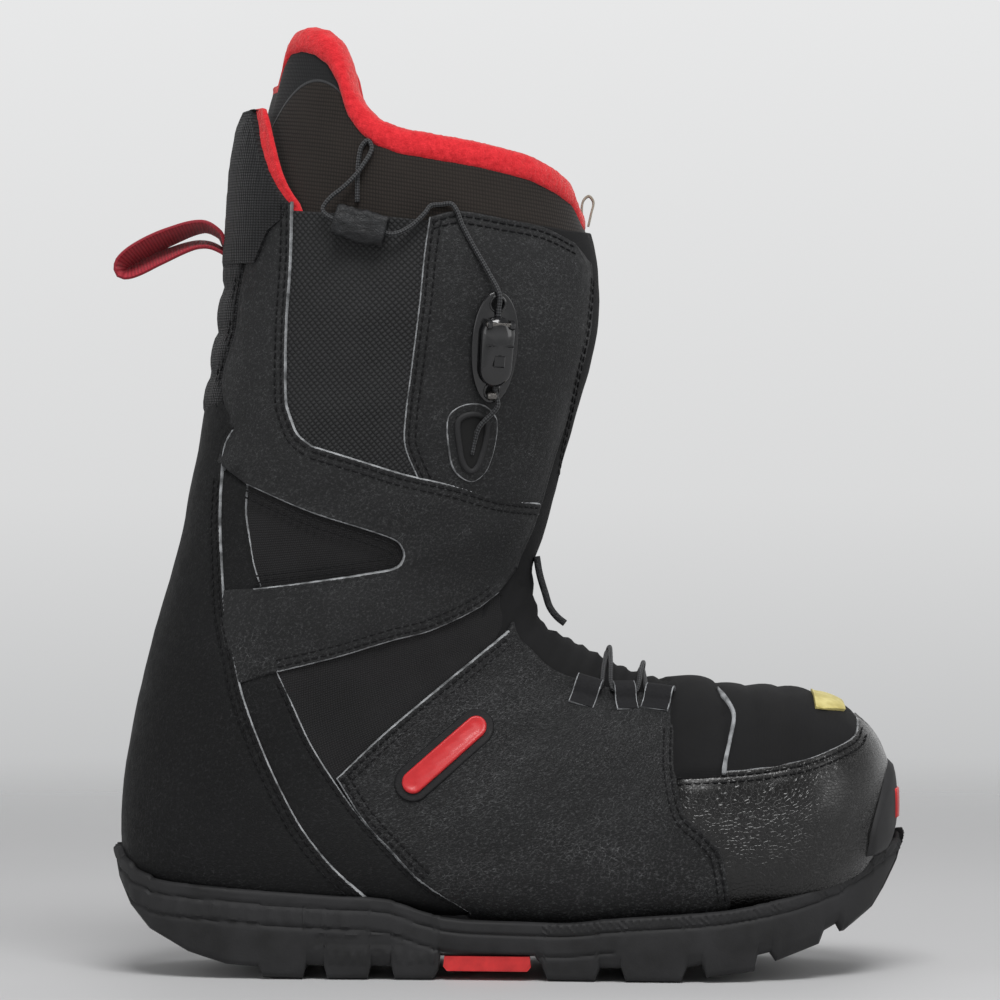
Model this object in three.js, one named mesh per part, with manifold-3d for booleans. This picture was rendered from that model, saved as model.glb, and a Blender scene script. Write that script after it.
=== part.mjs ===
// A snowboard boot for the right foot: rubber cup sole, stitched shell with a flexing cuff,
// cord lacing with a locking slider on each side, and a removable padded liner.
//
// Millimetres. +X points to the toe, +Z up, -Y is the outer (lateral) side. The origin is on the
// ground, under the middle of the sole. The boot is drawn at a design size of 310 x 121 x 366,
// and every outline below is in design units that scale with the three overall sizes.

import * as THREE from 'three';
import { mergeVertices } from 'three/addons/utils/BufferGeometryUtils.js';
import Module from 'manifold-3d';

const wasm = await Module();
wasm.setup();

// ---------------------------------------------------------------- driving dimensions
const SOLE_LENGTH = 310; // heel to toe, over the rubber
const SOLE_WIDTH = 121; // across the ball of the foot
const BOOT_HEIGHT = 366; // ground to the top of the liner's back

const GAP = 0.3; // between pieces that touch
const LINER_GAP = 0.6; // between the shell and the liner
const PANEL = 2.4; // thickness of a stitched shell panel
const MESH_PANEL = 1.6; // thickness of a fabric window panel
const LINER = 7; // thickness of the liner's foam
const FOOTBED = 3.2;
const LASTING_BOARD = 2.4;
const REAR_COLLAR = 4; // padded collar behind the leg
const FLEECE = 1.2; // brushed lining of the rear collar
const TRIM_HEIGHT = 8; // fleece binding along the liner's top edge
const BUMPER = 4; // rubber toe bumper
const PATCH = 0.5; // small patches and labels

const FLEX = 12; // degrees that the cuff leans forward
const WEDGE_CLEARANCE = 1; // degrees kept open past the full lean
const THROAT = 18; // half the opening between the two front flaps
const EYESTAY = 20; // half the opening over the instep

const LACE = 1.8; // cord diameter
const LOCK_LENGTH = 43;
const LOCK_WIDTH = 18.5;
const LOCK_PLATE = 2.2; // thickness of the lock's plate
const EYELET = 2.2; // radius of the lock's two eyelets
const LEVER_LENGTH = 27;
const LEVER_WIDTH = 14;
const LEVER_HEIGHT = 4.4;
const LEVER_OPENS = 30; // degrees
const PIN = 1.1; // radius of the lever's pin
const PIN_CLEARANCE = 0.15;
const PIN_WALL = 0.75; // lever material around the pin
const EAR = 1.8; // thickness of each ear that holds the pin
const FORK = 3.3; // half width of the lever's end between the ears
const KEEPER = { length: 20, height: 12.5, out: 6, channel: 3.4 };
const GUIDE = { length: 7, width: 6, out: 4, wall: 0.7 }; // webbing lace guides over the instep
const BADGE = { length: 40, width: 9, out: 1.1 };

const LOOP_WIDTH = 17; // heel pull loop webbing
const LOOP_WEB = 1.4;

const AROUND = 12; // faces from the back of a section to its front, on each side
const SIDE = { lateral: -1, medial: 1 };

const DESIGN = { length: 310, width: 121, height: 366 };
const KX = SOLE_LENGTH / DESIGN.length;
const KY = SOLE_WIDTH / DESIGN.width;
const KZ = BOOT_HEIGHT / DESIGN.height;

// ---------------------------------------------------------------- the boot's outer form
// Each section is a closed curve in a plane across the boot, from a point on its back or underside
// to a point on its front or top. w is the half width, wide where along the section it is widest,
// under and over the roundness below and above that, shift the middle's sideways place, and room
// the extra depth that the rear collar takes from the liner.
const SECTIONS = [
  { back: [-97, 378], front: [31, 362], w: 51, wide: 0.46, under: 2.2, over: 2.3, shift: 0, room: 8 },
  { back: [-104, 345], front: [30, 326], w: 53.5, wide: 0.46, under: 2.2, over: 2.3, shift: 0, room: 8 },
  { back: [-108.5, 312], front: [29.5, 300], w: 56, wide: 0.46, under: 2.2, over: 2.3, shift: 0, room: 7.5 },
  { back: [-110.5, 285], front: [34, 277], w: 57, wide: 0.46, under: 2.2, over: 2.3, shift: 0, room: 5 },
  { back: [-114, 256], front: [34, 252], w: 57, wide: 0.46, under: 2.2, over: 2.3, shift: 0, room: 1.5 },
  { back: [-118.5, 228], front: [28.5, 228], w: 55.5, wide: 0.45, under: 2.2, over: 2.3, shift: 0, room: 0 },
  { back: [-123, 198], front: [20.5, 200], w: 53, wide: 0.44, under: 2.2, over: 2.2, shift: 0, room: 0 },
  { back: [-129, 168], front: [14.5, 176], w: 50.5, wide: 0.43, under: 2.2, over: 2.1, shift: 0, room: 0 },
  { back: [-138, 135], front: [8.5, 157], w: 48.5, wide: 0.42, under: 2.3, over: 2.0, shift: 0, room: 0 },
  { back: [-147, 98], front: [12, 137], w: 47.5, wide: 0.4, under: 2.3, over: 1.9, shift: 0, room: 0 },
  { back: [-152, 62], front: [22, 130], w: 46.5, wide: 0.38, under: 2.4, over: 1.85, shift: 0, room: 0 },
  { back: [-146, 34], front: [31, 125], w: 46, wide: 0.36, under: 2.6, over: 1.85, shift: -0.5, room: 0 },
  { back: [-116, 24], front: [40, 120.5], w: 47, wide: 0.34, under: 2.9, over: 1.9, shift: -1, room: 0 },
  { back: [-70, 22], front: [50, 116], w: 49, wide: 0.33, under: 3.1, over: 1.95, shift: -2, room: 0 },
  { back: [-18, 18], front: [62, 113], w: 52, wide: 0.33, under: 3.3, over: 2.05, shift: -1.5, room: 0 },
  { back: [35, 15], front: [76, 113], w: 56.5, wide: 0.34, under: 3.4, over: 2.2, shift: 0, room: 0 },
  { back: [68, 15], front: [85, 112], w: 58, wide: 0.35, under: 3.4, over: 2.3, shift: 0.5, room: 0 },
  { back: [94, 17], front: [96, 111], w: 57.5, wide: 0.36, under: 3.2, over: 2.4, shift: 1, room: 0 },
];
const TOE = { tip: 150, height: 64, width: 2.3, top: 2.5, bottom: 1.9, shift: 7 };
const TOE_STEPS = [0.22, 0.42, 0.6, 0.76, 0.89];

const mix = (a, b, t) => a + (b - a) * t;
const power = (base, exponent) => Math.pow(Math.max(0, base), exponent);
const bulge = (q, exponent) => power(1 - power(q, exponent), 1 / exponent);

// Catmull-Rom interpolation of one value of the section list.
function along(read, s) {
  const last = SECTIONS.length - 1;
  const i = Math.min(Math.floor(s), last - 1);
  const t = s - i;
  const [a, b, c, d] = [i - 1, i, i + 1, i + 2].map((k) => read(SECTIONS[Math.min(Math.max(k, 0), last)]));
  return 0.5 * (2 * b + (c - a) * t + (2 * a - 5 * b + 4 * c - d) * t * t
    + (3 * b - a - 3 * c + d) * t * t * t);
}

// The section at place s, drawn in by inset. Places past the last section round off the toe.
function section(s, inset, liner = false) {
  const last = SECTIONS.length - 1;
  const u = Math.min(s, last);
  const get = (read) => along(read, u);
  const back = new THREE.Vector2(get((p) => p.back[0]) * KX, get((p) => p.back[1]) * KZ);
  const front = new THREE.Vector2(get((p) => p.front[0]) * KX, get((p) => p.front[1]) * KZ);
  const axis = front.clone().sub(back).normalize();
  back.addScaledVector(axis, inset);
  front.addScaledVector(axis, -inset);
  const made = {
    back, front, w: get((p) => p.w) * KY - inset, shift: get((p) => p.shift) * KY,
    wide: get((p) => p.wide), under: get((p) => p.under), over: get((p) => p.over),
    room: liner ? get((p) => p.room) : 0,
  };
  if (s <= last) return made;
  const q = Math.sin(((s - last) * Math.PI) / 2);
  const reach = (edge) => mix(edge.x, TOE.tip * KX - inset, q);
  const middle = TOE.height * KZ;
  made.front = new THREE.Vector2(reach(front), middle + (front.y - middle) * bulge(q, TOE.top));
  made.back = new THREE.Vector2(reach(back), middle - (middle - back.y) * bulge(q, TOE.bottom));
  made.w *= bulge(q, TOE.width);
  made.shift = mix(made.shift, TOE.shift * KY, q);
  return made;
}

// The point of a section's middle line at share a of the way from its back to its front.
function centre(sec, a) {
  const run = sec.front.clone().sub(sec.back);
  const point = sec.back.clone().addScaledVector(run, a);
  return point.addScaledVector(run.normalize(), sec.room * (1 - a) ** 2);
}

// Half width of a section at share a of the way from its back to its front.
function halfWidth(sec, a) {
  const q = a < sec.wide ? (sec.wide - a) / sec.wide : (a - sec.wide) / (1 - sec.wide);
  return sec.w * bulge(Math.min(1, q), a < sec.wide ? sec.under : sec.over);
}

// Points from back to front along one half of a section, evenly spaced: [share, half width].
function halfProfile(sec, count) {
  const fine = 60;
  const length = sec.front.distanceTo(sec.back);
  const dense = [];
  for (let i = 0; i <= fine; i++) {
    const a = (1 - Math.cos((Math.PI * i) / fine)) / 2;
    dense.push([a, halfWidth(sec, a)]);
  }
  const run = [0];
  for (let i = 1; i <= fine; i++) {
    const step = Math.hypot((dense[i][0] - dense[i - 1][0]) * length, dense[i][1] - dense[i - 1][1]);
    run.push(run[i - 1] + step);
  }
  const points = [];
  for (let k = 0, i = 0; k <= count; k++) {
    const want = (run[fine] * k) / count;
    while (i < fine - 1 && run[i + 1] < want) i++;
    const t = (want - run[i]) / (run[i + 1] - run[i]);
    points.push([mix(dense[i][0], dense[i + 1][0], t), mix(dense[i][1], dense[i + 1][1], t)]);
  }
  return points;
}

// ---------------------------------------------------------------- solids
function solid(geometry, matrix) {
  const flat = geometry.index ? geometry.toNonIndexed() : geometry;
  const bare = new THREE.BufferGeometry().setAttribute('position', flat.getAttribute('position').clone());
  if (matrix) bare.applyMatrix4(matrix);
  const merged = mergeVertices(bare, 1e-3);
  const triVerts = new Uint32Array(merged.index.array);
  const vertProperties = merged.attributes.position.array;
  return new wasm.Manifold(new wasm.Mesh({ numProp: 3, vertProperties, triVerts }));
}

// The boot's form as a closed solid, drawn in by inset.
function form(inset, liner = false) {
  const last = SECTIONS.length - 1;
  const places = [];
  for (let s = 0; s <= last; s++) places.push(s);
  const rings = [...places, ...TOE_STEPS.map((t) => last + t)].map((s) => {
    const sec = section(s, inset, liner);
    const half = halfProfile(sec, AROUND);
    const at = ([a, y], side) => {
      const p = centre(sec, a);
      return [p.x, sec.shift + side * y, p.y];
    };
    return [...half.map((h) => at(h, -1)), ...half.slice(1, -1).reverse().map((h) => at(h, 1))];
  });
  const top = section(0, inset, liner);
  const middle = centre(top, 0.5);
  const points = [[middle.x, top.shift, middle.y], ...rings.flat(),
    [TOE.tip * KX - inset, TOE.shift * KY, TOE.height * KZ]];
  const n = rings[0].length;
  const index = [];
  for (let i = 0; i < n; i++) {
    const j = (i + 1) % n;
    index.push(0, 1 + i, 1 + j);
    for (let r = 0; r < rings.length - 1; r++) {
      const [a, b, c, d] = [r * n + i, r * n + j, (r + 1) * n + i, (r + 1) * n + j].map((k) => k + 1);
      index.push(a, c, b, b, c, d);
    }
    const end = (rings.length - 1) * n + 1;
    index.push(end + i, points.length - 1, end + j);
  }
  const geometry = new THREE.BufferGeometry();
  geometry.setAttribute('position', new THREE.Float32BufferAttribute(points.flat(), 3));
  geometry.setIndex(index);
  return solid(geometry);
}

// A wall of the boot between two depths.
const wall = (outer, inner, liner = false) => form(outer, liner).subtract(form(inner, liner));

// Moves each corner of a closed outline inwards by d.
function shrink(points, d) {
  const turn = THREE.ShapeUtils.area(points) > 0 ? 1 : -1;
  const count = points.length;
  return points.map((p, i) => {
    const a = p.clone().sub(points[(i + count - 1) % count]).normalize();
    const b = points[(i + 1) % count].clone().sub(p).normalize();
    const n = new THREE.Vector2(-a.y - b.y, a.x + b.x).multiplyScalar(turn);
    const cosine = Math.max(0.35, Math.sqrt((1 + a.dot(b)) / 2));
    return n.lengthSq() < 1e-9 ? p.clone() : p.clone().addScaledVector(n.normalize(), d / cosine);
  });
}

// A side-view outline, in design units, extruded across the boot between two sideways places.
function across(outline, from = -120, to = 120, gap = GAP / 2) {
  const points = shrink(outline.map(([x, z]) => new THREE.Vector2(x * KX, z * KZ)), gap);
  const options = { depth: to - from, bevelEnabled: false };
  const geometry = new THREE.ExtrudeGeometry(new THREE.Shape(points), options);
  return solid(geometry, new THREE.Matrix4().makeRotationX(Math.PI / 2).setPosition(0, to, 0));
}

// The same on one side of the boot only, from a distance off the middle plane outwards.
const sideOnly = (outline, side, from = GAP / 2) =>
  side < 0 ? across(outline, -120, -from) : across(outline, from, 120);

// ---------------------------------------------------------------- the flexing cuff
// The cuff leans about a line through the ankle. In front of it the shell and liner stay open by a
// wedge that closes at full lean, which the real boot's soft materials crumple to fill.
const ANKLE = [-78, 108];
const CREASE = 28; // degrees above level of the cuff's lower edge, seen from the ankle line
const FAR = 240;
const ray = (degrees, length) => {
  const angle = THREE.MathUtils.degToRad(degrees);
  return [ANKLE[0] + length * Math.cos(angle), ANKLE[1] + length * Math.sin(angle)];
};
const FOOT_SIDE = [[-FAR, ANKLE[1]], ANKLE, ray(CREASE - FLEX - WEDGE_CLEARANCE, FAR), [FAR, -60],
  [-FAR, -60]];
const CUFF_SIDE = [[-FAR, ANKLE[1]], ANKLE, ray(CREASE, FAR), [FAR, 420], [-FAR, 420]];

// ---------------------------------------------------------------- panel outlines (x, z)
const COUNTER_EDGE = [[-55, 31], [-68, 43], [-80, 58], [-90, 76.5], [-97.5, 94], [-102.5, 108]];
const BACKSTAY_LOW = [[-102.5, 108], [-104.3, 115], [-107.5, 130.5], [-109.8, 142], [-110.6, 149.5]];
const BACKSTAY_MIDDLE = [[-111, 158], [-112, 176], [-111.4, 194]];
const BACKSTAY_HIGH = [[-110, 205.5], [-107, 211]];
const QUARTER_REAR = [[-15.5, 25.5], [-34, 37.5], [-45.5, 49], [-57, 61.5], [-68, 77]];
const QUARTER_TOP = [[-68, 77], [-49, 94], [-31, 109], [-16, 121]];
const QUARTER_FRONT = [[64, 150], [64, 96], [63.5, 80], [67, 64], [75.5, 56], [81, 48.5], [84.5, 29]];
const CAP_TOP = [[63.5, 80], [82.5, 80.5], [98, 82], [114.5, 85], [128.5, 90], [134, 93], [135.5, 97],
  [135, 102], [130.5, 107]];
const STRAP_LOWER = [[-104.3, 115], [-89.5, 118], [-67, 123.5], [-45, 130], [-31, 133.5], [-13.5, 141.5],
  [4, 155]];
const WINDOW = [[-110.6, 149.5], [-79.5, 152.5], [-52, 156.5], [-43.5, 158.5], [-41, 162.5], [-43, 167.5],
  [-49, 170.5], [-77, 179.5], [-101.5, 190], [-111.4, 194]];
const STRIP_EDGE = [[-107, 211], [-111, 222], [-111, 233], [-106.5, 249.5], [-105, 262.5], [-101.5, 278]];
const MESH_REAR = [[-84, 297.5], [-84.5, 275.5], [-86, 250], [-86, 222], [-81.5, 209.5], [-76, 205]];
const MESH_UNDER = [[-58, 199.5], [-34.5, 193]];
const FLAP_UNDER = [[-34.5, 193], [-4.5, 185], [17, 182]];
const FLAP_REAR = [[-31, 291], [-33, 279], [-35, 259], [-38, 235], [-40.5, 215], [-40.5, 204.5],
  [-34.5, 193]];
const CUFF_TOP = [[-31, 291], [-20.5, 295], [-3, 292.5], [13, 289.5], [25.5, 284], [33, 276.5],
  [60, 270]];
const LASTING_LINE = [[-170, 44], [-140, 31], [-116, 28], [-70, 26], [-18, 22], [35, 19], [68, 19],
  [94, 21], [118, 29], [134, 39], [143, 50], [170, 60]];
const RIM = [[-153, 52], [-149, 41], [-137, 36.5], [-68, 31.5], [-53, 31.5], [-44, 30], [-33, 25.5],
  [-20, 23], [22, 22], [38, 24], [82, 27], [109, 32], [127, 37.5], [140, 44.5], [148, 54]];
const LINER_TOP = [[-90, 345], [-87, 357], [-83.5, 365], [-79, 366], [-74, 364.5], [-68.5, 360],
  [-64.5, 352], [-61.5, 341], [-57, 334], [-51, 328.5], [-42, 325], [-12, 320], [8, 315.5], [17, 311.5],
  [23, 307], [26, 298]];

const reversed = (points) => [...points].reverse();
const shifted = (points, dx, dz) => points.map(([x, z]) => [x + dx, z + dz]);
const aboveLasting = [...LASTING_LINE, [170, 420], [-170, 420]];
const belowLasting = [...LASTING_LINE, [170, -30], [-170, -30]];

// ---------------------------------------------------------------- shell panels
const shell = wall(0, PANEL);
const upperShell = shell.intersect(across(aboveLasting));
const footShell = upperShell.intersect(across(FOOT_SIDE));
const cuffShell = shell.intersect(across(CUFF_SIDE));
const meshShell = wall(PANEL - MESH_PANEL, PANEL);

const pieces = []; // { name, solid, look }
const add = (name, made, look) => pieces.push({ name, solid: made, look });

function footPanels() {
  const counter = [...COUNTER_EDGE, [-170, 108], [-170, 0], [-55, 0]];
  add('heel_counter', footShell.intersect(across(counter)), 'matte');
  const capRear = reversed(QUARTER_FRONT.slice(3));
  const cap = [[84.5, 0], ...capRear, ...CAP_TOP, [130.5, 150], [200, 150], [200, 0]];
  add('toe_cap', footShell.intersect(across(cap)), 'gloss');
  const vamp = [...CAP_TOP, [130.5, 150], ...QUARTER_FRONT.slice(0, 2)];
  add('vamp', footShell.intersect(across(vamp)), 'nylon');
  const quarter = [...QUARTER_REAR, ...QUARTER_TOP.slice(1), [20, 150], ...QUARTER_FRONT, [84.5, 0],
    [-15.5, 0]];
  const gore = [...COUNTER_EDGE, ANKLE, [-10, 140], ...reversed(QUARTER_TOP),
    ...reversed(QUARTER_REAR).slice(1), [-15.5, 0], [-55, 0]];
  const goreShell = meshShell.intersect(across(aboveLasting)).intersect(across(FOOT_SIDE));
  for (const [name, side] of Object.entries(SIDE)) {
    add('quarter_' + name, footShell.intersect(sideOnly(quarter, side, EYESTAY + GAP)), 'leather');
    add('ankle_gore_' + name, goreShell.intersect(sideOnly(gore, side)), 'fabric');
  }
  const instep = [[-10, 95], [-10, 150], [64, 150], [64, 95]];
  add('tongue_lower', footShell.intersect(across(instep, -EYESTAY, EYESTAY)), 'nylon');
}

function cuffPanels() {
  const backEdge = [...BACKSTAY_LOW, ...BACKSTAY_MIDDLE, ...BACKSTAY_HIGH];
  const backstay = [...backEdge, [-111, 222], [-113, 228], [-170, 231], [-170, 108]];
  add('backstay', cuffShell.intersect(across(backstay)), 'matte');
  const stretch = [[-170, 231], [-113, 228], ...STRIP_EDGE.slice(2), [-170, 277]];
  add('back_stretch_panel', meshShell.intersect(across(stretch)), 'rib');
  const harness = [...MESH_REAR, ...MESH_UNDER, ...FLAP_UNDER.slice(1), [60, 182], [60, 155],
    ...reversed(STRAP_LOWER), ...BACKSTAY_LOW.slice(2, 4), ...WINDOW, ...BACKSTAY_HIGH,
    ...STRIP_EDGE.slice(1), [-96.5, 287], [-90, 295.5]];
  const mesh = [...MESH_REAR, ...MESH_UNDER, ...reversed(FLAP_REAR).slice(1), [-68, 294]];
  const flap = [...CUFF_TOP, [60, 182], ...reversed(FLAP_UNDER), ...reversed(FLAP_REAR).slice(1, -1)];
  for (const [name, side] of Object.entries(SIDE)) {
    add('harness_' + name, cuffShell.intersect(sideOnly(harness, side, THROAT + GAP)), 'leather');
    const window = [...WINDOW, ...reversed(BACKSTAY_MIDDLE).slice(1)];
    add('ankle_window_' + name, meshShell.intersect(sideOnly(window, side)), 'fabric');
    add('cuff_mesh_' + name, meshShell.intersect(sideOnly(mesh, side)), 'mesh');
    add('cuff_flap_' + name, cuffShell.intersect(sideOnly(flap, side, THROAT + GAP)), 'leather');
  }
  const tongue = [[-30, 120], [-30, 296], [20, 296], [60, 272], [60, 120]];
  add('tongue_upper', cuffShell.intersect(across(tongue, -THROAT, THROAT)), 'nylon');
}

// ---------------------------------------------------------------- rear collar and liner
function rearCollar() {
  const outline = [[-170, 277], [-101.5, 278], [-96.5, 287], [-90, 295.5], [-84, 298], [-88, 303],
    [-92, 310], [-95.5, 320], [-97.5, 330], [-99, 336], [-103, 335], [-170, 322]];
  const front = shifted(outline.slice(4, 10), 6, 1);
  add('rear_collar', wall(0, REAR_COLLAR).intersect(across(outline)), 'rib');
  const lining = [[-170, 277], ...outline.slice(1, 5), ...front, [-170, 336]];
  add('rear_collar_fleece', wall(REAR_COLLAR + GAP, REAR_COLLAR + GAP + FLEECE).intersect(across(lining))
    .subtract(form(LINER_OUT - GAP, true)), 'fleece');
}

const LINER_OUT = PANEL + LINER_GAP;
const LINER_IN = LINER_OUT + LINER;

function liner() {
  const foam = wall(LINER_OUT, LINER_IN, true);
  add('liner_foot', foam.intersect(across(FOOT_SIDE)), 'foam');
  const under = [[-170, 345 - TRIM_HEIGHT], ...shifted(LINER_TOP, 0, -TRIM_HEIGHT),
    [60, 294 - TRIM_HEIGHT], [60, 0], [-170, 0]];
  const band = [[-170, 345 - TRIM_HEIGHT], ...shifted(LINER_TOP, 0, -TRIM_HEIGHT),
    [60, 294 - TRIM_HEIGHT], [60, 294], ...reversed(LINER_TOP), [-170, 345]];
  add('liner_cuff', foam.intersect(across(CUFF_SIDE)).intersect(across(under)), 'foam');
  add('liner_collar_trim', foam.intersect(across(band)), 'fleece');
  const insole = shifted(LASTING_LINE.slice(1, -2), 0, LINER_IN - 1);
  const bed = wall(LINER_IN + GAP, LINER_IN + GAP + FOOTBED);
  add('footbed', bed.intersect(across([...insole, [136, -30], [-140, -30]])), 'foam');
  add('lasting_board', wall(0, LASTING_BOARD).intersect(across(belowLasting)), 'board');
}

// ---------------------------------------------------------------- sole
// Plan outline: half widths at places along the sole, outer side then inner side.
const PLAN = [[-155, 7, 7], [-152.5, 16, 16], [-146, 28, 28], [-132, 38, 38], [-110, 44, 43.5],
  [-75, 47, 44.5], [-30, 49.5, 44], [15, 54.5, 49], [50, 59.5, 56.5], [75, 60.5, 60.5], [98, 57.5, 60.3],
  [118, 48, 55.5], [134, 34, 46.5], [146, 17, 33], [152.5, 3, 22], [155, -8, 8]];
const ARCH = [-27, 9]; // where the waist between the heel and forefoot treads starts and ends
const TREAD = [[-155, 46], [-153, 37], [-148, 27], [-140, 18], [-125, 10], [-110, 5.5], [-97, 4.5],
  [-95.5, 0.6], [-80, 0], [-78.5, 5], [-72, 5], [-70.5, 0], [-55, 0], [-53.5, 5], [-46, 5], [-44.5, 0],
  [-30, 0], [-28, 3], [ARCH[0], 9.2], [ARCH[1], 9.2], [12, 5], [14, 0], [32, 0], [34, 5], [42, 5],
  [44, 0], [65, 0], [67.5, 5.5], [73, 6.5], [75, 1.6], [93.5, 4], [95, 10], [100, 11], [102.5, 7.5],
  [119, 13], [121, 18], [127, 21], [129, 17.5], [141, 26], [146, 33], [152, 43], [156, 56]];

const POD = { x: -92, radius: 17, low: 14, height: 7 }; // heel cushion

function plan(inset, from, to) {
  const outer = PLAN.map(([x, y]) => new THREE.Vector2(x * KX, -y * KY));
  const inner = reversed(PLAN).map(([x, , y]) => new THREE.Vector2(x * KX, y * KY));
  const full = [...outer, ...inner.slice(1, -1)];
  const outline = inset ? shrink(full, inset) : full;
  const options = { depth: to - from, bevelEnabled: false };
  const geometry = new THREE.ExtrudeGeometry(new THREE.Shape(outline), options);
  return solid(geometry, new THREE.Matrix4().makeTranslation(0, 0, from));
}

function sole() {
  const under = form(-GAP);
  const cup = [...TREAD, ...reversed(RIM)];
  const bed = [[-150, 30], [-140, 24], [-120, 15], [-100, 11], [-30, 11], [ARCH[0], 12.5], [ARCH[1],
    12.5], [20, 10], [64, 10], [92, 13.5], [118, 21], [128, 30], [128, 60], [-150, 60]];
  const core = plan(9, 0, 60 * KZ);
  const round = (radius, from, to) => solid(new THREE.CylinderGeometry(radius, radius, to - from, 20),
    new THREE.Matrix4().makeRotationX(Math.PI / 2).setPosition(POD.x * KX, -0.5, (from + to) / 2));
  const low = POD.low * KZ;
  const pod = round(POD.radius, low, low + POD.height);
  const podRoom = round(POD.radius + GAP, low - GAP, 60 * KZ);
  const midsole = core.intersect(across(bed)).subtract(under);
  add('outsole', plan(0, -5, 90 * KZ).intersect(across(cup, -120, 120, 0)).subtract(under)
    .subtract(plan(9 - GAP, 0, 60 * KZ).intersect(across(bed, -120, 120, -GAP / 2))), 'rubber');
  add('midsole', midsole.subtract(podRoom), 'eva');
  add('heel_cushion', pod, 'gel');
  const shank = [[-24.5, 3.2], [-26, 5], [-25.5, 9.2], [7.5, 9.2], [8, 5], [6.5, 3.2]];
  add('shank_plate', plan(1.2, 0, 20).intersect(across(shank)), 'red');
  const bumper = [[137, 47], [141, 62], [144.5, 77], [148, 84], [170, 84], [170, 58], [148, 56],
    [140.5, 47]];
  const rubber = form(-GAP - BUMPER).subtract(under);
  add('toe_bumper', rubber.intersect(across(bumper)).subtract(plan(0, 0, 60 * KZ)
    .intersect(across([...TREAD, ...reversed(RIM)], -120, 120, -GAP))), 'rubber');
  const patch = [[140, 58], [140, 73], [170, 73], [170, 58]];
  add('toe_patch', form(-2 * GAP - BUMPER - PATCH).subtract(form(-2 * GAP - BUMPER))
    .intersect(across(patch, -18, 12)), 'red');
}

// ---------------------------------------------------------------- pieces placed on the shell
// The section through a side-view point, its share along that section, and its half width there.
function locate(point) {
  let low = 0;
  let high = SECTIONS.length - 0.02;
  for (let i = 0; i < 40; i++) {
    const s = (low + high) / 2;
    const sec = section(s, 0);
    if (sec.front.clone().sub(sec.back).cross(point.clone().sub(sec.back)) < 0) low = s;
    else high = s;
  }
  const sec = section(low, 0);
  const share = point.distanceTo(sec.back) / sec.front.distanceTo(sec.back);
  return { share, half: halfWidth(sec, Math.min(1, share)), shift: sec.shift };
}

// The point of the boot's side at (x, z) in design units, raised off it, and the way it faces.
function onSide(x, z, side, raise = 0) {
  const depth = (dx, dz) => {
    const found = locate(new THREE.Vector2(x * KX + dx, z * KZ + dz));
    return found.shift + side * found.half;
  };
  const slopeX = (depth(1, 0) - depth(-1, 0)) / 2;
  const slopeZ = (depth(0, 1) - depth(0, -1)) / 2;
  const normal = new THREE.Vector3(-slopeX, 1, -slopeZ).multiplyScalar(side).normalize();
  return { at: new THREE.Vector3(x * KX, depth(0, 0), z * KZ).addScaledVector(normal, raise), normal };
}

// The point of the instep at a place along the boot and a distance off its middle, raised off it.
function onTop(x, y, raise) {
  const height = (dx, dy) => {
    let z = 160 * KZ;
    for (let step = 8; step > 0.05; step /= 2) {
      for (;;) {
        const found = locate(new THREE.Vector2(x * KX + dx, z - step));
        if (found.share < 1 && found.half >= Math.abs(y + dy - found.shift)) break;
        z -= step;
      }
    }
    return z;
  };
  const slopeX = (height(-1, 0) - height(1, 0)) / 2;
  const slopeY = (height(0, -1) - height(0, 1)) / 2;
  const normal = new THREE.Vector3(slopeX, slopeY, 1).normalize();
  return { at: new THREE.Vector3(x * KX, y, height(0, 0)).addScaledVector(normal, raise), normal };
}

// A frame at a placed point: local y along the given direction, z outwards, x across.
function frameAt({ at, normal }, direction) {
  const up = direction.clone().addScaledVector(normal, -direction.dot(normal)).normalize();
  return new THREE.Matrix4().makeBasis(up.clone().cross(normal), up, normal).setPosition(at);
}

function seat(x, z, side, heading, raise = 0) {
  const angle = THREE.MathUtils.degToRad(heading);
  return frameAt(onSide(x, z, side, raise), new THREE.Vector3(Math.cos(angle), 0, Math.sin(angle)));
}

function oval(width, length) {
  const r = width / 2;
  const h = length / 2 - r;
  const shape = new THREE.Shape();
  shape.absarc(0, h, r, 0, Math.PI);
  shape.absarc(0, -h, r, Math.PI, 2 * Math.PI);
  return shape;
}

// An oval outline in side view, for pieces that lie on the shell.
function pill(x, z, length, width, heading) {
  const turn = THREE.MathUtils.degToRad(heading - 90);
  return oval(width, length).getPoints(5).slice(0, -1)
    .map((p) => p.rotateAround(new THREE.Vector2(), turn)).map((p) => [x + p.x, z + p.y]);
}

const moved = (matrix, x, y, z) => matrix.clone().multiply(new THREE.Matrix4().makeTranslation(x, y, z));
const box = (matrix, x, y, z, sx, sy, sz) =>
  solid(new THREE.BoxGeometry(sx, sy, sz), moved(matrix, x, y, z));
const rod = (matrix, y, z, radius, length, faces = 12) => solid(
  new THREE.CylinderGeometry(radius, radius, length, faces),
  moved(matrix, 0, y, z).multiply(new THREE.Matrix4().makeRotationZ(Math.PI / 2)));

function tube(points, radius, steps, sides = 8) {
  const ring = new THREE.Shape(Array.from({ length: sides }, (_, i) => {
    const angle = (2 * Math.PI * i) / sides;
    return new THREE.Vector2(radius * Math.cos(angle), radius * Math.sin(angle));
  }));
  const extrudePath = new THREE.CatmullRomCurve3(points);
  return solid(new THREE.ExtrudeGeometry(ring, { steps, extrudePath, bevelEnabled: false }));
}

// A piece of even thickness that lies on one side of the shell.
const onShell = (outline, side, thickness) =>
  form(-GAP - thickness).subtract(form(-GAP)).intersect(sideOnly(outline, side, 1));

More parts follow.
